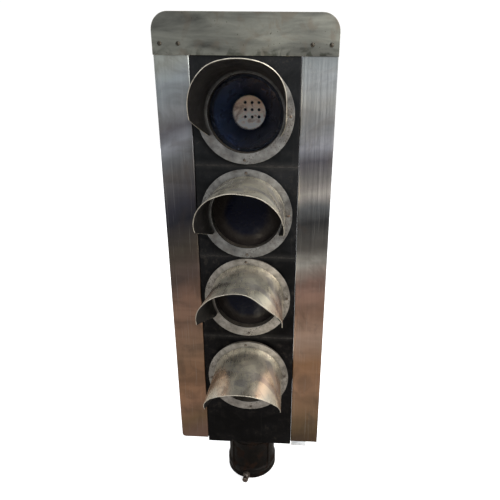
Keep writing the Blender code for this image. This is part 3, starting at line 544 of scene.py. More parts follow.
def black_paint_finish(name, base, worn, dust, chalk_and_shade=0.0, seam_dust=0.0):
    """Old satin black paint, chalked and dusty, rubbed to metal along its edges, and lighter higher
    up, partly chalk and partly painted shade.
    """
    finish, where = begin(name, 0.0, 0.45, Specular_IOR_Level=0.08)
    peel = cloud(where, 190.0, 3, 0.5)
    wide = cloud(where, (6, 6, 9), 5, 0.6, 0.7)
    finish.colour = over(between(wide, 0.36, 0.68), base, worn)
    finish.mark(SMUDGES, tint(52, 48, 46), 0.10, Scale=26.0, From=0.52, To=0.68)
    specks = use(SMUDGES, where, Scale=75.0, From=0.52, To=0.66)
    specks = times(specks, between(wide, 0.42, 0.60))
    finish.lay(specks, tint(56, 52, 47), 0.40)
    finish.mark(DUST, tint(150, 140, 126), Amount=dust)
    rise = axes(where)["Z"]
    # Lighter and bluer higher up: partly chalk, partly painted shade that keeps the lower casing dark
    # under the lowest hood.
    finish.lay(times(between(rise, 0.45, 1.20, 0.0, chalk_and_shade), wide), tint(70, 74, 78))
    seam = 1.0
    for level in SEAM_Z:
        seam = sums("MINIMUM", seam, sums("ABSOLUTE", minus(rise, level)))
    film = plus(seam, times(wide, 0.012))
    film = between(film, 0.004, 0.022, seam_dust, 0.0)
    finish.lay(times(film, peel), tint(120, 118, 114))
    finish.mark(SCRATCHES, tint(104, 100, 96), Amount=0.03)
    edge = finish.mark(EDGE_WEAR_AND_HIGHLIGHT, tint(94, 90, 87), Radius=0.0025, Chips=45.0, Amount=0.6)
    rough = between(wide, 0.3, 0.7, 0.34, 0.60)
    return finish.done(rough, plus(peel, wide), 0.0003, metallic=edge)


def cast_iron_finish():
    """Dark sand-cast iron with brown rust and rubbed high spots."""
    finish, where = begin("rusty cast iron", 0.2, 0.5, Specular_IOR_Level=0.14)
    sand = cloud(where, 420.0, 5, 0.7)
    lumps = cloud(where, 38.0, 5, 0.6, 0.3)
    finish.colour = bands(lumps, (0.30, tint(7, 6, 5)), (0.70, tint(20, 16, 13)))
    brown = bands(sand, (0.30, tint(26, 17, 12)), (0.70, tint(52, 35, 25)))
    rust = finish.mark(SMUDGES, brown, 0.55, Scale=24.0, From=0.46, To=0.66)
    finish.mark(EDGE_WEAR_AND_HIGHLIGHT, tint(72, 62, 54), Radius=0.003, Chips=40.0, Amount=0.7)
    finish.mark(CREVICE_DARKENING, tint(14, 11, 9), Reach=0.02, Amount=0.8)
    height = plus(times(sand, 0.5), lumps)
    return finish.done(between(rust, 0.0, 1.0, 0.42, 0.85), height, 0.0009)


def plated_steel_finish(name, bright, dull, rust_share):
    """Zinc-plated steel gone dull, with rust patches and darker corners."""
    finish, where = begin(name, 0.95, 0.38)
    mottle = cloud(where, 130.0, 5, 0.6)
    finish.colour = over(between(mottle, 0.35, 0.65), dull, bright)
    finish.mark(SMUDGES, tint(104, 66, 42), rust_share, Scale=70.0, From=0.50, To=0.70)
    finish.mark(CREVICE_DARKENING, tint(40, 29, 21), Reach=0.006, Amount=0.9)
    finish.mark(EDGE_WEAR_AND_HIGHLIGHT, tint(206, 202, 194), Radius=0.001, Chips=120.0, Amount=0.7)
    return finish.done(between(mottle, 0.3, 0.7, 0.28, 0.52), mottle, 0.00015)


def bright_angle_finish():
    """Clean drawn angle, bright along its length."""
    finish, where = begin("bright angle", 0.9, 0.3)
    grain = cloud(where, (40, 900, 900), 3, 0.6)
    pale, paler = tint(228, 228, 226), tint(250, 250, 249)
    finish.colour = bands(grain, (0.34, pale), (0.66, paler))
    finish.mark(SMUDGES, tint(150, 146, 140), 0.4, Scale=60.0, From=0.55, To=0.75)
    return finish.done(between(grain, 0.3, 0.7, 0.24, 0.42), grain, 0.00004)


def rubber_finish():
    finish, where = begin("black rubber", 0.0, 0.8)
    bloom = cloud(where, 90.0, 5, 0.65)
    finish.colour = bands(bloom, (0.30, tint(20, 20, 20)), (0.72, tint(52, 51, 50)))
    return finish.done(between(bloom, 0.3, 0.7, 0.65, 0.9), bloom, 0.0002)


def clear_lens_finish():
    """Old clear glass with a blue cast and a film of dirt."""
    glass = {"IOR": 1.15, "Alpha": 0.3, "Transmission_Weight": 1.0}
    finish, where = begin("clear lens glass", 0.0, 0.06, **glass)
    film = use(SMUDGES, where, Scale=16.0, From=0.38, To=0.74)
    finish.colour = over(film, tint(206, 220, 244), tint(178, 190, 212))
    return finish.done(between(film, 0.0, 1.0, 0.03, 0.16))


def smoked_lens_finish(name, middle, rim, reach):
    """Unlit dark glass: deep blue-black in the middle and dusty towards the rim."""
    finish, where = begin(name, 0.0, 0.2, Specular_IOR_Level=0.12)
    flat = put("VectorMath", {0: where, 1: (1, 1, 0)}, operation="MULTIPLY").outputs[0]
    radius = put("VectorMath", {0: flat}, operation="LENGTH").outputs["Value"]
    wander = minus(cloud(where, 26.0, 4, 0.6), 0.5)
    radius = plus(radius, times(wander, 0.02))
    outside = between(radius, reach - 0.010, reach + 0.012)
    finish.colour = over(outside, middle, rim)
    marks = finish.mark(SMUDGES, tint(52, 49, 48), 0.15, Scale=30.0, From=0.50, To=0.75)
    waffle = put("TexVoronoi", {"Vector": where, "Scale": 95.0}, feature="SMOOTH_F1")
    rough = between(marks, 0.0, 1.0, 0.24, 0.46)
    return finish.done(rough, waffle.outputs["Distance"], 0.0006)


def bowl_finish():
    """Mirror bowl gone blue-black, brighter towards its left side, and grey outside."""
    finish, where = begin("tarnished mirror bowl", 0.55, 0.3)
    place = axes(where)
    tarnish = cloud(where, 16.0, 4, 0.6, 0.5)
    side = between(plus(place["X"], times(tarnish, 0.05)), -0.10, 0.05)
    finish.colour = over(side, tint(62, 84, 124), tint(44, 52, 74))
    finish.lay(between(place["Z"], -0.03, -0.012), tint(40, 42, 48))
    outward = axes(put("TexCoord", tree=finish.tree).outputs["Normal"])["Z"]
    inside = between(outward, -0.02, 0.02)
    finish.colour = over(inside, tint(112, 110, 106), finish.colour)
    return finish.done(between(tarnish, 0.3, 0.7, 0.20, 0.42), tarnish, 0.0004)


def lamp_plate_finish(name, top, low, stain):
    """Glazed lamp plate, of one colour towards its top and another below, with stains."""
    finish, where = begin(name, 0.0, 0.35, Coat_Weight=0.3)
    drift = cloud(where, 30.0, 5, 0.6, 0.4)
    up = plus(axes(where)["Y"], times(minus(drift, 0.5), 0.05))
    finish.colour = over(between(up, -0.03, 0.04), low, top)
    burnt = finish.mark(SMUDGES, stain, 0.7, Scale=42.0, From=0.48, To=0.66)
    finish.mark(CREVICE_DARKENING, tint(26, 20, 16), Reach=0.008, Amount=1.0)
    return finish.done(between(burnt, 0.0, 1.0, 0.30, 0.6), drift, 0.0002)


def moulded_plastic_finish(name, base, pale):
    finish, where = begin(name, 0.0, 0.5)
    texture = cloud(where, 600.0, 2, 0.5)
    fade = cloud(where, 24.0, 4, 0.6)
    finish.colour = over(between(fade, 0.35, 0.70), base, pale)
    finish.mark(DUST, tint(140, 130, 118), Amount=0.4)
    return finish.done(between(fade, 0.3, 0.7, 0.42, 0.62), texture, 0.00008)


def make_finishes():
    """Every finish, under the record's slot that it belongs to."""
    paint, steel, plastic = black_paint_finish, plated_steel_finish, moulded_plastic_finish
    # The cream plate's colours are lifted above full white: painted light for the light that hardly
    # reaches into the bowl.
    cream = (tint(250, 206, 164, 1.25), tint(255, 246, 232, 1.35), tint(176, 128, 92))
    dark = (tint(30, 30, 38), tint(24, 26, 36), tint(40, 36, 36))
    smoke = (tint(9, 16, 36), tint(48, 44, 42), 0.064)
    return {
        "backboard_sheet": {
            "wing_left": wing_finish("brushed left wing", WING_LEFT, -0.195, -0.45),
            "wing_right": wing_finish("brushed right wing", WING_RIGHT, 0.195, -0.15),
            "cap": cap_finish(),
        },
        "visor_sheet": {
            "hood": hood_finish(),
            "lining": hood_lining_finish(),
            "rim": ring_finish("rubbed hood rim", tint(160, 155, 143), tint(232, 226, 210)),
            # The lower rings are lighter and warmer: partly their own stains, partly painted light
            # that lifts them out of the shade of the hoods.
            "ring_upper": ring_finish("upper flange ring", tint(86, 86, 86), tint(142, 142, 141)),
            "ring_lower": ring_finish("lower flange ring painted lighter", tint(106, 103, 99), tint(174, 169, 162)),
        },
        "casing_black": {
            "casing": paint("casing paint", tint(5, 5, 6), tint(21, 20, 21), 0.10, 0.26, 0.10),
            "door": paint("door paint", tint(12, 12, 13), tint(34, 34, 36), 0.35, 0.3),
        },
        "bezel_black": {"bezel": paint("bezel paint", tint(16, 16, 17), tint(38, 37, 38), 0.45)},
        "cast_socket": {"iron": cast_iron_finish()},
        "steel_parts": {
            "steel": steel("dull plated steel", tint(176, 172, 164), tint(120, 114, 106), 0.45),
            "screw": steel("dark screw steel", tint(120, 112, 104), tint(74, 66, 60), 0.70),
            "rivet": steel("dark rivet steel", tint(86, 82, 75), tint(52, 48, 43), 0.3),
        },
        "bright_angle": {"angle": bright_angle_finish()},
        "black_rubber": {"rubber": rubber_finish()},
        "lens_glass": {
            "clear_lens": clear_lens_finish(),
            "smoked_lens": smoked_lens_finish("smoked lens glass", *smoke),
        },
        "reflector_metal": {"bowl": bowl_finish()},
        "lamp_ceramic": {
            "cream_plate": lamp_plate_finish("cream lamp plate", *cream),
            "dark_plate": lamp_plate_finish("dark lamp plate", *dark),
            "bore": plastic("soot in the holes", tint(8, 6, 5), tint(16, 12, 10)),
        },
        "module_plastic": {"module": plastic("module plastic", tint(34, 34, 35), tint(58, 57, 56))},
        "grey_plastic": {"plastic": plastic("grey plastic", tint(104, 104, 102), tint(134, 132, 126))},
    }


LOOKS = {}
for slot_name, made_finishes in make_finishes().items():
    for look_name, made_finish in made_finishes.items():
        LOOKS[look_name] = (made_finish, slot_name)


# ---------------------------------------------------------------- shaping helpers
def solid(name, shape, at=(0, 0, 0), turn=(0, 0, 0), outward=True):
    """Makes an object from a filled bmesh."""
    if outward:
        bmesh.ops.recalc_face_normals(shape, faces=shape.faces)
    mesh = bpy.data.meshes.new(name)
    shape.to_mesh(mesh)
    shape.free()
    obj = bpy.data.objects.new(name, mesh)
    bpy.context.scene.collection.objects.link(obj)
    obj.location = at
    obj.rotation_euler = turn
    return obj


def carve(obj, cut, join=()):
    """Joins some tools to a piece and cuts it with others, for good, and throws them away."""
    jobs = [(tool, "UNION") for tool in join] + [(tool, "DIFFERENCE") for tool in cut]
    for tool, operation in jobs:
        step = obj.modifiers.new("carve", "BOOLEAN")
        step.object = tool
        step.operation = operation
        step.solver = "EXACT"
    bpy.context.view_layer.update()
    graph = bpy.context.evaluated_depsgraph_get()
    mesh = bpy.data.meshes.new_from_object(obj.evaluated_get(graph))
    obj.modifiers.clear()
    obj.data = mesh
    for tool, _ in jobs:
        bpy.data.objects.remove(tool)


def dress(obj, looks, body="head", stands_for=(), edge=0.0, sheet=0.0, angle=35):
    """Gives a piece its finishes, its thickness and soft edges, and sets it on its body."""
    obj.data.materials.clear()
    for look in looks:
        obj.data.materials.append(LOOKS[look][0])
    obj.data.shade_smooth()
    obj.data.set_sharp_from_angle(angle=math.radians(angle))
    if sheet:
        thick = obj.modifiers.new("sheet", "SOLIDIFY")
        thick.thickness = sheet
        thick.offset = 0.0 if len(looks) == 1 else -1.0
        thick.use_quality_normals = True
        if len(looks) > 1:
            thick.material_offset = 1
            thick.material_offset_rim = 2
    if edge:
        soft = obj.modifiers.new("edges", "BEVEL")
        soft.width = edge
        soft.segments = 2
        soft.limit_method = "ANGLE"
        soft.angle_limit = math.radians(angle)
        soft.harden_normals = True
    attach(obj, body)
    if stands_for:
        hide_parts(*stands_for)


def shares(count):
    """Even steps from 0 to 1."""
    return [k / count for k in range(count + 1)]


def polar(radius, angle):
    return radius * math.cos(angle), radius * math.sin(angle)


def turned(profile, segments=96):
    """A round shape from a closed outline of (radius, height). A radius of 0 is a pole."""
    shape = bmesh.new()
    angles = [2 * math.pi * k / segments for k in range(segments)]
    rings = []
    for radius, height in profile:
        if radius == 0:
            rings.append([shape.verts.new((0, 0, height))] * segments)
        else:
            rings.append([shape.verts.new((*polar(radius, a), height)) for a in angles])
    for one, two in zip(rings, rings[1:] + rings[:1]):
        for k in range(segments):
            after = (k + 1) % segments
            corners = list(dict.fromkeys([one[k], one[after], two[after], two[k]]))
            if len(corners) > 2:
                shape.faces.new(corners)
    return shape


def hoop(inner, outer, low, high, segments=96):
    """A flat ring, or with an inner radius of 0 a disc or a plug to cut a round hole."""
    return turned([(inner, low), (inner, high), (outer, high), (outer, low)], segments)


def skin(rows, keep=lambda row, column: True):
    """An open surface through rows of points."""
    shape = bmesh.new()
    points = [[shape.verts.new(point) for point in row] for row in rows]
    for j, (one, two) in enumerate(zip(points, points[1:])):
        for k in range(len(one) - 1):
            if keep(j, k):
                shape.faces.new([one[k], one[k + 1], two[k + 1], two[k]])
    loose = [v for v in shape.verts if not v.link_faces]
    bmesh.ops.delete(shape, geom=loose, context="VERTS")
    return shape


def block(low, high, corner=0.0, levels=None, steps=4):
    """A box with rounded upright corners. levels gives (height, inset) for each ring."""
    shape = bmesh.new()
    rings = []
    for height, inset in levels or [(low[2], 0.0), (high[2], 0.0)]:
        ring = []
        radius = max(corner - inset, 0.0)
        x0, x1, y0, y1 = low[0] + inset, high[0] - inset, low[1] + inset, high[1] - inset
        for cx, cy, start in ((x0, y0, 180), (x1, y0, 270), (x1, y1, 0), (x0, y1, 90)):
            if radius <= 0:
                ring.append(shape.verts.new((cx, cy, height)))
                continue
            mx = cx + math.copysign(radius, (x0 + x1) / 2 - cx)
            my = cy + math.copysign(radius, (y0 + y1) / 2 - cy)
            for k in range(steps + 1):
                dx, dy = polar(radius, math.radians(start + 90 * k / steps))
                ring.append(shape.verts.new((mx + dx, my + dy, height)))
        rings.append(ring)
    for one, two in zip(rings, rings[1:]):
        for k in range(len(one)):
            after = (k + 1) % len(one)
            shape.faces.new([one[k], one[after], two[after], two[k]])
    shape.faces.new(rings[0])
    shape.faces.new(rings[-1])
    return shape


def copied(node):
    """The CAD node's own shape, with its flat faces made whole."""
    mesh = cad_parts[node].data
    shape = bmesh.new()
    points = [shape.verts.new(v.co) for v in mesh.vertices]
    for face in mesh.polygons:
        shape.faces.new([points[k] for k in face.vertices])
    bmesh.ops.remove_doubles(shape, verts=shape.verts, dist=1e-6)
    flat = math.radians(0.5)
    bmesh.ops.dissolve_limit(shape, angle_limit=flat, verts=shape.verts, edges=shape.edges)
    return shape


def softened(node, look, body="head", edge=0.0006):
    """The CAD node again, with softened edges."""
    dress(solid(f"{node}_soft", copied(node)), [look], body, [node], edge)


def merged(shapes):
    """Several filled bmeshes, each already in place, as one."""
    whole = bmesh.new()
    for part in shapes:
        mesh = bpy.data.meshes.new("part")
        part.to_mesh(mesh)
        part.free()
        whole.from_mesh(mesh)
        bpy.data.meshes.remove(mesh)
    return whole


def moved(shape, by, turn=None):
    matrix = Matrix.Translation(by) @ (turn or Matrix.Identity(4))
    bmesh.ops.transform(shape, matrix=matrix, verts=shape.verts)
    return shape


def hexagon_head(across, tall):
    """A bolt head with chamfered corners, standing on z = 0."""
    flat, corner = across * 0.46, across * 0.575
    return turned([(0, 0), (0, tall), (flat, tall), (corner, tall * 0.82), (corner, 0)], 6)


def pan_head(radius, tall):
    """A screw head with a slot across it, standing on z = 0."""
    dome = [(0, tall)]
    for a in (0.4, 0.8, 1.2, 1.57):
        dome.append((radius * math.sin(a), tall * (0.35 + 0.65 * math.cos(a))))
    head = solid("head", turned(dome + [(radius, 0), (0, 0)], 20))
    long, half = radius * 1.2, radius * 0.16
    slot = block((-long, -half, tall * 0.55), (long, half, tall * 1.5))
    carve(head, [solid("slot", slot)])
    shape = bmesh.new()
    shape.from_mesh(head.data)
    bpy.data.objects.remove(head)
    return shape


# ---------------------------------------------------------------- casing and door
def make_casing():
    """One casing with grooves where its four lamp sections meet."""
    levels = [(CASING_LOW.z, CASING_CHAMFER), (CASING_LOW.z + CASING_CHAMFER, 0.0)]
    for seam in SEAM_Z[::-1]:
        low, high = seam - SEAM_HALF, seam + SEAM_HALF
        levels += [(low - SEAM_SLOPE, 0.0), (low, SEAM_DEEP)]
        levels += [(high, SEAM_DEEP), (high + SEAM_SLOPE, 0.0)]
    levels += [(CASING_HIGH.z - CASING_CHAMFER, 0.0), (CASING_HIGH.z, CASING_CHAMFER)]
    body = solid("casing_body", block(CASING_LOW, CASING_HIGH, 0.004, levels))
    wall = Vector([CASING_WALL] * 3)
    tools = [solid("hollow", block(CASING_LOW + wall, CASING_HIGH - wall, 0.002))]
    low = CASING_LOW + wall + Vector([CASING_LIP] * 3)
    high = CASING_HIGH - wall - Vector([CASING_LIP] * 3)
    low.y, high.y = 0, CASING_HIGH.y + CASING_WALL
    tools.append(solid("mouth", block(low, high, 0.006)))
    gland = centre_of("cable_gland")
    holes = [(APERTURE_R, 96, (0, FRONT_Y, LAMP_Z[k]), FACING_FRONT) for k in LAMPS]
    holes.append((SWIVEL_HOLE_R, 48, (0, 0, CASING_LOW.z), (0, 0, 0)))
    holes.append((LEAD_HOLE_R, 32, (gland.x, gland.y, CASING_LOW.z), (0, 0, 0)))
    for radius, segments, at, turn in holes:
        tools.append(solid("hole", hoop(0, radius, -0.02, 0.02, segments), at, turn))
    carve(body, tools)
    dress(body, ["casing"], stands_for=["casing_shell"])


def make_door():
    softened("rear_door", "door", "rear_door", 0.0008)
    softened("door_gasket", "rubber", edge=0.0005)
    for end in ENDS:
        latch = f"latch_{end}"
        softened(f"hinge_bracket_{end}", "steel", edge=0.0005)
        softened(f"hinge_pin_{end}", "screw", edge=0.0003)
        softened(f"latch_handle_{end}", "steel", latch, 0.0004)
        softened(f"latch_cam_{end}", "screw", latch, 0.0003)
        low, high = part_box(f"hinge_bracket_{end}")
        heads = []
        for share in (0.25, 0.75):
            at = (low.x + 0.003, low.y + 0.012, low.z + (high.z - low.z) * share)
            heads.append(moved(pan_head(0.0042, 0.0022), at, Matrix.Rotation(math.pi / 2, 4, "Y")))
        screws = solid(f"hinge_screws_{end}", merged(heads))
        dress(screws, ["screw"], edge=0.0002)


# ---------------------------------------------------------------- lamps
def lamp_piece(k, name, shape, look, edge, node=None):
    """A piece of lamp k, turned to the front. It may stand for the lamp's CAD node."""
    piece = solid(f"{name}_{k}", shape, (0, FRONT_Y, LAMP_Z[k]), FACING_FRONT)
    dress(piece, [look], stands_for=[f"{node}_{k}"] if node else (), edge=edge)


def make_lens(k):
    """The bezel, the rubber seal and the domed lens in them."""
    spigot_r = BEZEL_SPIGOT_R - 0.003
    bezel = [
        (BEZEL_R, GAP), (BEZEL_R, BEZEL_FRONT - 0.002), (BEZEL_R - 0.002, BEZEL_FRONT),
        (BEZEL_LIP_R, BEZEL_FRONT), (BEZEL_LIP_R, -0.006), (spigot_r, -0.006),
        (spigot_r, -0.024), (BEZEL_SPIGOT_R, -0.024), (BEZEL_SPIGOT_R, GAP),
    ]
    lamp_piece(k, "bezel", turned(bezel), "bezel", 0.0006, "lens_bezel")
    seal = hoop(BEZEL_LIP_R + GAP, LENS_R, LENS_FRONT + GAP, SEAL_FRONT)
    lamp_piece(k, "lens_seal", seal, "rubber", 0.0004, "lens_gasket")

    dome_r = LENS_R - LENS_EDGE
    front = [(dome_r * s, LENS_FRONT + LENS_RISE * (1 - s * s)) for s in shares(12)]
    back = [(radius, height - LENS_T) for radius, height in front]
    rim = [(LENS_R, LENS_FRONT), (LENS_R, LENS_FRONT - LENS_T)]
    dome = turned(front + rim + back[::-1])
    glass = "clear_lens" if k == 1 else "smoked_lens"
    lamp_piece(k, "lens_dome", dome, glass, 0.0, "lens")


def make_bowl(k):
    mouth, neck = LENS_R - 0.012, PLATE_R + BOWL_SHEET
    inner = []
    for share in shares(10):
        radius = math.sqrt(mouth**2 - (mouth**2 - neck**2) * share)
        inner.append((radius, BOWL_FRONT - BOWL_DEPTH * share))
    outer = [(radius + BOWL_SHEET, height) for radius, height in inner[1:]]
    lip = BOWL_FRONT - BOWL_SHEET
    rim = [(mouth + BOWL_SHEET, lip), (LENS_R, lip), (LENS_R, BOWL_FRONT)]
    bowl = turned(inner + outer[::-1] + rim)
    lamp_piece(k, "bowl", bowl, "bowl", 0.0003, "reflector")


def make_lamp_plate(k):
    """The plate behind the bowl, with its nine holes, and the holder it sits in."""
    at = (0, FRONT_Y, LAMP_Z[k])
    plate = solid(f"lamp_disc_{k}", hoop(0, PLATE_R, PLATE_BACK, PLATE_FRONT), at, FACING_FRONT)
    drills = []
    for row in (-1, 0, 1):
        for column in (-1, 0, 1):
            drill = hoop(0, HOLE_R, PLATE_FRONT - HOLE_DEEP, PLATE_FRONT + HOLE_DEEP, 24)
            centre = (column * HOLE_PITCH + HOLE_SHIFT, row * HOLE_PITCH + HOLE_SHIFT, 0)
            drills.append(moved(drill, centre))
    carve(plate, [solid("drills", merged(drills), at, FACING_FRONT)])
    looks = ["cream_plate" if k == 1 else "dark_plate", "bore"]
    dress(plate, looks, stands_for=[f"lamp_plate_{k}"], edge=0.0005)
    for face in plate.data.polygons:
        middle = face.center
        within = PLATE_BACK + 0.001 < middle.z < PLATE_FRONT - 0.0003
        if within and middle.xy.length < PLATE_R - 0.001:
            face.material_index = 1

    seat, back = PLATE_BACK - GAP, PLATE_BACK - GAP - HOLDER_LONG
    cup_r, cup_front = PLATE_R + GAP, PLATE_BACK - GAP + PLATE_T / 2
    holder = [
        (0, seat), (cup_r, seat), (cup_r, cup_front), (HOLDER_R, cup_front),
        (HOLDER_R, back + 0.022), (HOLDER_R - 0.002, back + 0.020), (HOLDER_R, back + 0.018),
        (HOLDER_R, back), (0.014, back), (0.014, back - 0.010), (0, back - 0.010),
    ]
    shape = turned(holder, 64)
    lamp_piece(k, "lamp_holder", shape, "module", 0.0008, "lamp_module")


def hood_reach(angle, top_reach):
    """How far a hood reaches at an angle from its top: slanted, then cut back to its heels."""
    longer = top_reach - HOOD_SIDE_REACH
    if abs(angle) <= HOOD_CORNER + 1e-6:
        return HOOD_SIDE_REACH + longer * math.cos(angle)
    corner, heel = math.cos(HOOD_CORNER), math.cos(HOOD_HEEL)
    start = HOOD_SIDE_REACH + longer * corner
    return start + (HOOD_HEEL_REACH - start) * (corner - math.cos(angle)) / (corner - heel)


def hood_skin(number, top_reach, left, right, up, longer):
    """The outside of one hood: a flared sheet, open below, dented and bent a little by hand."""
    side = [HOOD_CORNER + (HOOD_HEEL - HOOD_CORNER) * s for s in shares(HOOD_HEEL_STEPS)[1:]]
    front = [HOOD_CORNER * (2 * s - 1) for s in shares(2 * HOOD_ROUND_STEPS)]
    rows = []
    for angle in [-a for a in side[::-1]] + front + side:
        diagonal = math.sin(2 * angle) ** 2 if 0 < angle < math.pi / 2 else 0.0
        reach = hood_reach(angle, top_reach) + longer * diagonal
        bend = right * diagonal + up * max(0.0, math.cos(angle)) ** 2
        bend += left * math.sin(angle) ** 2 if angle < 0 else 0.0
        row = []
        for step in shares(HOOD_LONG_STEPS):
            share = step**1.3
            along = reach * share
            radius = HOOD_R + (HOOD_RIM_R - HOOD_R) * along / top_reach + bend * share**2
            radius += HOOD_FLARE * max(0.0, 1 - along / HOOD_FLARE_LONG) ** 2
            out = RING_FRONT + along
            sideways, upward = DENTS_ROUND * math.sin(angle), DENTS_ROUND * math.cos(angle)
            place = Vector((sideways, upward, out * DENTS_ALONG + number * DENTS_APART))
            radius += HOOD_DENT * noise.noise(place) * min(1.0, share * 3)
            row.append((radius * math.sin(angle), radius * math.cos(angle), out))
        rows.append(row)
    return skin(rows)


def make_hood(k):
    """The flat flange ring, its four screws and the hood that stands out of it."""
    ring = hoop(RING_IN_R, RING_OUT_R, RING_BACK, RING_FRONT, 128)
    # Lamps 3 and 4 take the lighter ring colour, partly painted light against the shade of the hoods.
    ring_look = "ring_upper" if k < 3 else "ring_lower"
    lamp_piece(k, "hood_ring", ring, ring_look, 0.0005)
    screws = []
    for quarter in range(4):
        spot = (*polar(RING_SCREW_R, math.pi / 2 * quarter + 0.03 * (k - 2)), RING_FRONT)
        screws.append(moved(pan_head(0.0040, 0.0024), spot, Matrix.Rotation(quarter + k, 4, "Z")))
    lamp_piece(k, "ring_screws", merged(screws), "screw", 0.0002)

    sheet = hood_skin(k, **HOODS[k])
    hood = solid(f"hood_{k}", sheet, (0, FRONT_Y, LAMP_Z[k]), FACING_FRONT, outward=False)
    looks = ["hood", "lining", "rim"]
    dress(hood, looks, stands_for=[f"visor_{k}"], edge=0.0005, sheet=SHEET)


# ---------------------------------------------------------------- backboard
def ripple(x, z):
    """The small unevenness of thin sheet."""
    return SHEET_RIPPLE * noise.noise(Vector((x * RIPPLES_ACROSS, 0.0, z * RIPPLES_UP)))


def dress_sheet(name, shape, look, node):
    piece = solid(name, shape, outward=False)
    dress(piece, [look], stands_for=[node], edge=0.0005, sheet=SHEET, angle=50)


def make_wing(name, side, corner):
    """A flat sheet with its inner edge bent back, which ends below the cap."""
    low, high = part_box(f"backboard_wing_{name}")
    inner = min(abs(low.x), abs(high.x)) + SHEET / 2
    outer = max(abs(low.x), abs(high.x))
    front = low.y + SHEET / 2
    cap_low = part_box("backboard_cap")[0].z
    heights = [low.z + corner * (1 - math.cos(math.pi / 2 * s)) for s in shares(6)]
    heights += [low.z + corner + (cap_low - low.z - corner) * s for s in shares(60)[1:]]
    heights += [cap_low + (high.z - cap_low) * s for s in shares(3)[1:]]
    flat_steps = 14
    rows = []
    for z in heights:
        rise = min(z - low.z, corner)
        end = outer - (corner - math.sqrt(max(corner**2 - (corner - rise) ** 2, 0.0)))
        row = []
        for share in shares(flat_steps):
            x = side * (end + (inner + WING_BEND - end) * share)
            row.append((x, front + ripple(x, z), z))
        for share in shares(5)[1:]:
            back, across = polar(WING_BEND, math.pi / 2 * share)
            row.append((side * (inner + WING_BEND - across), front + WING_BEND - back, z))
        row.append((side * inner, high.y, z))
        rows.append(row if side > 0 else row[::-1])
    last = len(rows) - 4

    def keep(j, k):
        step = k if side > 0 else len(rows[0]) - 2 - k
        return j < last or step < flat_steps

    shape = skin(rows, keep)
    dress_sheet(f"wing_{name}", shape, f"wing_{name}", f"backboard_wing_{name}")


def make_cap():
    """The plate across the top, with round upper corners, and its four rivets."""
    low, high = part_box("backboard_cap")
    half, middle = high.x, (low.y + high.y) / 2
    straight = high.z - CAP_CORNER
    heights = [low.z + (straight - low.z) * s for s in shares(8)]
    heights += [straight + CAP_CORNER * math.sin(math.pi / 2 * s) for s in shares(12)[1:]]
    rows = []
    for z in heights:
        up = max(z - straight, 0.0)
        reach = half - CAP_CORNER + math.sqrt(max(CAP_CORNER**2 - up**2, 0.0))
        across = [reach * (2 * s - 1) for s in shares(60)]
        rows.append([(x, middle + ripple(x, z), z) for x in across])
    dress_sheet("cap_plate", skin(rows), "cap", "backboard_cap")
    for k in range(1, 5):
        centre = centre_of(f"cap_rivet_{k}")
        shape = [(0, RIVET_TALL)]
        for a in (0.35, 0.7, 1.05, 1.4):
            shape.append((RIVET_R * math.sin(a), RIVET_TALL * math.cos(a)))
        shape += [(RIVET_R, -0.0006), (RIVET_SHANK_R, -0.0006), (RIVET_SHANK_R, -0.005)]
        shape += [(RIVET_TAIL_R, -0.005), (RIVET_TAIL_R, -0.0072), (0, -0.0072)]
        at = (centre.x, low.y, centre.z)
        rivet = solid(f"rivet_{k}", turned(shape, 32), at, FACING_FRONT)
        dress(rivet, ["rivet"], stands_for=[f"cap_rivet_{k}"], edge=0.0002)
    softened("foot_bracket", "angle", edge=0.0005)


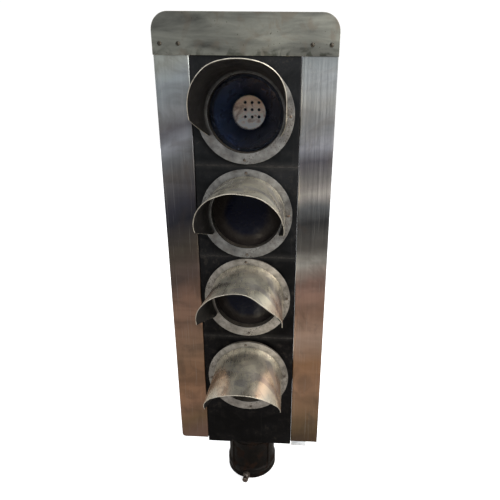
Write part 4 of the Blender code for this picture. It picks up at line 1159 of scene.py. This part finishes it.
# ---------------------------------------------------------------- socket
def make_socket():
    """The cast socket with its four ribs and the boss for its clamp bolt."""
    low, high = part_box("pole_socket")
    wall_r, rim_r, foot = SOCKET_R, SOCKET_RIM_R, low.z
    rim_top = foot + SOCKET_RIM_TALL
    outline = [
        (wall_r, SOCKET_SHOULDER), (wall_r, rim_top + 0.008), (wall_r + 0.002, rim_top + 0.003),
        (rim_r, rim_top - 0.001), (rim_r, foot + 0.024), (rim_r - 0.0012, foot + 0.021),
        (rim_r, foot + 0.018), (rim_r, foot + 0.003), (rim_r - 0.003, foot),
        (SOCKET_BORE_R, foot), (SOCKET_BORE_R, 0), (0, 0), (0, high.z),
        (SOCKET_NECK_R, high.z), (SOCKET_NECK_R, SOCKET_SHOULDER),
    ]
    body = solid("socket_casting", turned(outline, 128))
    joined = []
    for angle in RIB_ANGLES:
        rib_low, rib_high = (-0.005, wall_r - 0.006, foot + 0.030), (0.005, wall_r + 0.004, 0.008)
        turn = (0, 0, math.radians(180 - angle))
        joined.append(solid("rib", block(rib_low, rib_high, 0.0022), turn=turn))
    at = (0, 0, middle_height("clamp_bolt"))
    turn = (math.pi / 2, 0, CLAMP_AZIMUTH)
    face, inside = rim_r + 0.0002, 0.075
    boss = [(0, inside), (0, face), (BOSS_R - 0.002, face), (BOSS_R, rim_r - 0.004), (BOSS_R, inside)]
    joined.append(solid("boss", turned(boss, 40), at, turn))
    drill = hoop(0, BOLT_R + 0.0005, 0.035, 0.12, 32)
    carve(body, [solid("drill", drill, at, turn)], joined)
    dress(body, ["iron"], "pole_socket", ["pole_socket"], 0.0008)

    under_head = BOLT_REACH - BOLT_HEAD_TALL
    shank = [(0, 0.07115), (BOLT_R * 0.6, 0.07115), (BOLT_R, 0.0743), (BOLT_R, 0.0846)]
    for k in range(14):
        shank += [(BOLT_R * 0.9, 0.0852 + k * BOLT_PITCH), (BOLT_R, 0.0859 + k * BOLT_PITCH)]
    shank += [(BOLT_R, under_head), (0, under_head)]
    head = moved(hexagon_head(BOLT_HEAD_ACROSS, BOLT_HEAD_TALL), (0, 0, under_head))
    bolt = solid("clamp_screw", merged([turned(shank, 32), head]), at, turn)
    dress(bolt, ["screw"], "clamp_bolt", ["clamp_bolt"], 0.0003)
    softened("clamp_locknut", "screw", "pole_socket")
    softened("swivel_washer", "steel", "pole_socket", 0.0004)
    softened("swivel_nut", "steel", "pole_socket", 0.0008)

    low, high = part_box("base_flange")
    edge_r = high.x
    disc = [
        (SWIVEL_HOLE_R, low.z), (SWIVEL_HOLE_R, high.z), (edge_r - 0.001, high.z),
        (edge_r, high.z - 0.001), (edge_r, low.z + 0.010), (edge_r - 0.0016, low.z + 0.0085),
        (edge_r - 0.0016, low.z),
    ]
    plate = solid("base_plate", turned(disc, 128))
    dress(plate, ["iron"], stands_for=["base_flange"], edge=0.0006)


def make_wiring():
    """The terminal block inside the casing and the gland where a cable would come in."""
    low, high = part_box("terminal_block")
    softened("terminal_block", "plastic", edge=0.0008)
    screws = []
    for k in range(TERMINALS):
        for row in (0.3, 0.7):
            x = low.x + (high.x - low.x) * (k + 0.5) / TERMINALS
            spot = (x, high.y, low.z + (high.z - low.z) * row)
            screws.append(moved(pan_head(0.0034, 0.0016), spot, Matrix.Rotation(-math.pi / 2, 4, "X")))
    heads = solid("terminal_screws", merged(screws))
    dress(heads, ["steel"], edge=0.0002)
    softened("gland_nut", "plastic", edge=0.0005)
    low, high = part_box("cable_gland")
    hex_top = CASING_LOW.z - GAP
    body = [
        (0.005, low.z), (0.005, high.z), (0.0082, high.z), (0.009, high.z - 0.001),
        (0.009, hex_top), (0.0125, hex_top), (0.0125, hex_top - 0.010),
        (0.0118, hex_top - 0.011), (0.0105, low.z + 0.002), (0.0085, low.z),
    ]
    centre = centre_of("cable_gland")
    gland = solid("gland_body", turned(body, 40), (centre.x, centre.y, 0))
    dress(gland, ["plastic"], stands_for=["cable_gland"], edge=0.0004)


# ---------------------------------------------------------------- floor, light and camera
def make_floor():
    """A pale floor that throws less light up at the signal than it shows."""
    corners = [[(x, y, 0) for x in (-FLOOR_HALF, FLOOR_HALF)] for y in (-FLOOR_HALF, FLOOR_HALF)]
    floor = solid("studio_floor", skin(corners), (0, 0, CAD_BOUNDS[0].z - FLOOR_GAP))
    made = bpy.data.materials.new("pale floor")
    made.use_nodes = True
    tree = made.node_tree
    tree.nodes.clear()
    seen = put("LightPath", tree=tree).outputs["Is Camera Ray"]
    glow = put("Emission", {"Color": (1, 1, 1, 1), "Strength": FLOOR_GLOW}, tree).outputs[0]
    paint = put("BsdfDiffuse", {"Color": FLOOR_SHOWN}, tree).outputs[0]
    lit = put("AddShader", {0: glow, 1: paint}).outputs[0]
    dim = put("BsdfDiffuse", {"Color": FLOOR_CAST}, tree).outputs[0]
    mixed = put("MixShader", {0: seen, 1: dim, 2: lit}).outputs[0]
    put("OutputMaterial", {"Surface": mixed})
    floor.data.materials.append(made)


def make_sky():
    """Soft light that is warm below and cool above. The camera sees plain white."""
    world = bpy.data.worlds.new("studio")
    bpy.context.scene.world = world
    world.use_nodes = True
    tree = world.node_tree
    tree.nodes.clear()
    up = axes(put("TexCoord", tree=tree).outputs["Generated"])["Z"]
    below, level, above = (0.34, 0.32, 0.30, 1), (0.52, 0.54, 0.56, 1), (0.95, 0.97, 1.0, 1)
    soft = bands(between(up, -0.4, 0.9), (0.0, below), (0.45, level), (1.0, above))
    light = put("Background", {"Color": soft, "Strength": 1.0}).outputs[0]
    white = put("Background", {"Color": (1, 1, 1, 1), "Strength": 1.05}, tree).outputs[0]
    seen = put("LightPath", tree=tree).outputs["Is Camera Ray"]
    mixed = put("MixShader", {0: seen, 1: light, 2: white}).outputs[0]
    put("OutputWorld", {"Surface": mixed})


def make_light(name, at, towards, size, power, colour):
    light = bpy.data.lights.new(name, "AREA")
    light.size = size
    light.energy = power
    light.color = colour
    obj = bpy.data.objects.new(name, light)
    bpy.context.scene.collection.objects.link(obj)
    obj.location = at
    obj.rotation_euler = (Vector(towards) - Vector(at)).to_track_quat("-Z", "Y").to_euler()


def make_camera():
    lens = bpy.data.cameras.new("camera")
    lens.sensor_width = 36
    lens.lens = CAMERA_LENS
    lens.shift_x, lens.shift_y = CAMERA_SHIFT
    lens.clip_start = 0.05
    camera = bpy.data.objects.new("camera", lens)
    bpy.context.scene.collection.objects.link(camera)
    turn = Matrix.Rotation(CAMERA_TURN, 3, "Z")
    turn = turn @ Matrix.Rotation(math.pi / 2 - CAMERA_TILT, 3, "X")
    turn = turn @ Matrix.Rotation(CAMERA_ROLL, 3, "Z")
    camera.location = CAMERA_AT
    camera.rotation_euler = turn.to_euler()
    bpy.context.scene.camera = camera


def main():
    make_camera()
    make_casing()
    make_door()
    for k in LAMPS:
        make_lens(k)
        make_bowl(k)
        make_lamp_plate(k)
        make_hood(k)
    for name, side, corner in WINGS:
        make_wing(name, side, corner)
    make_cap()
    make_socket()
    make_wiring()
    make_floor()
    make_sky()
    for light in LIGHTS:
        make_light(*light)
    bpy.context.scene.view_settings.view_transform = "Standard"


main()
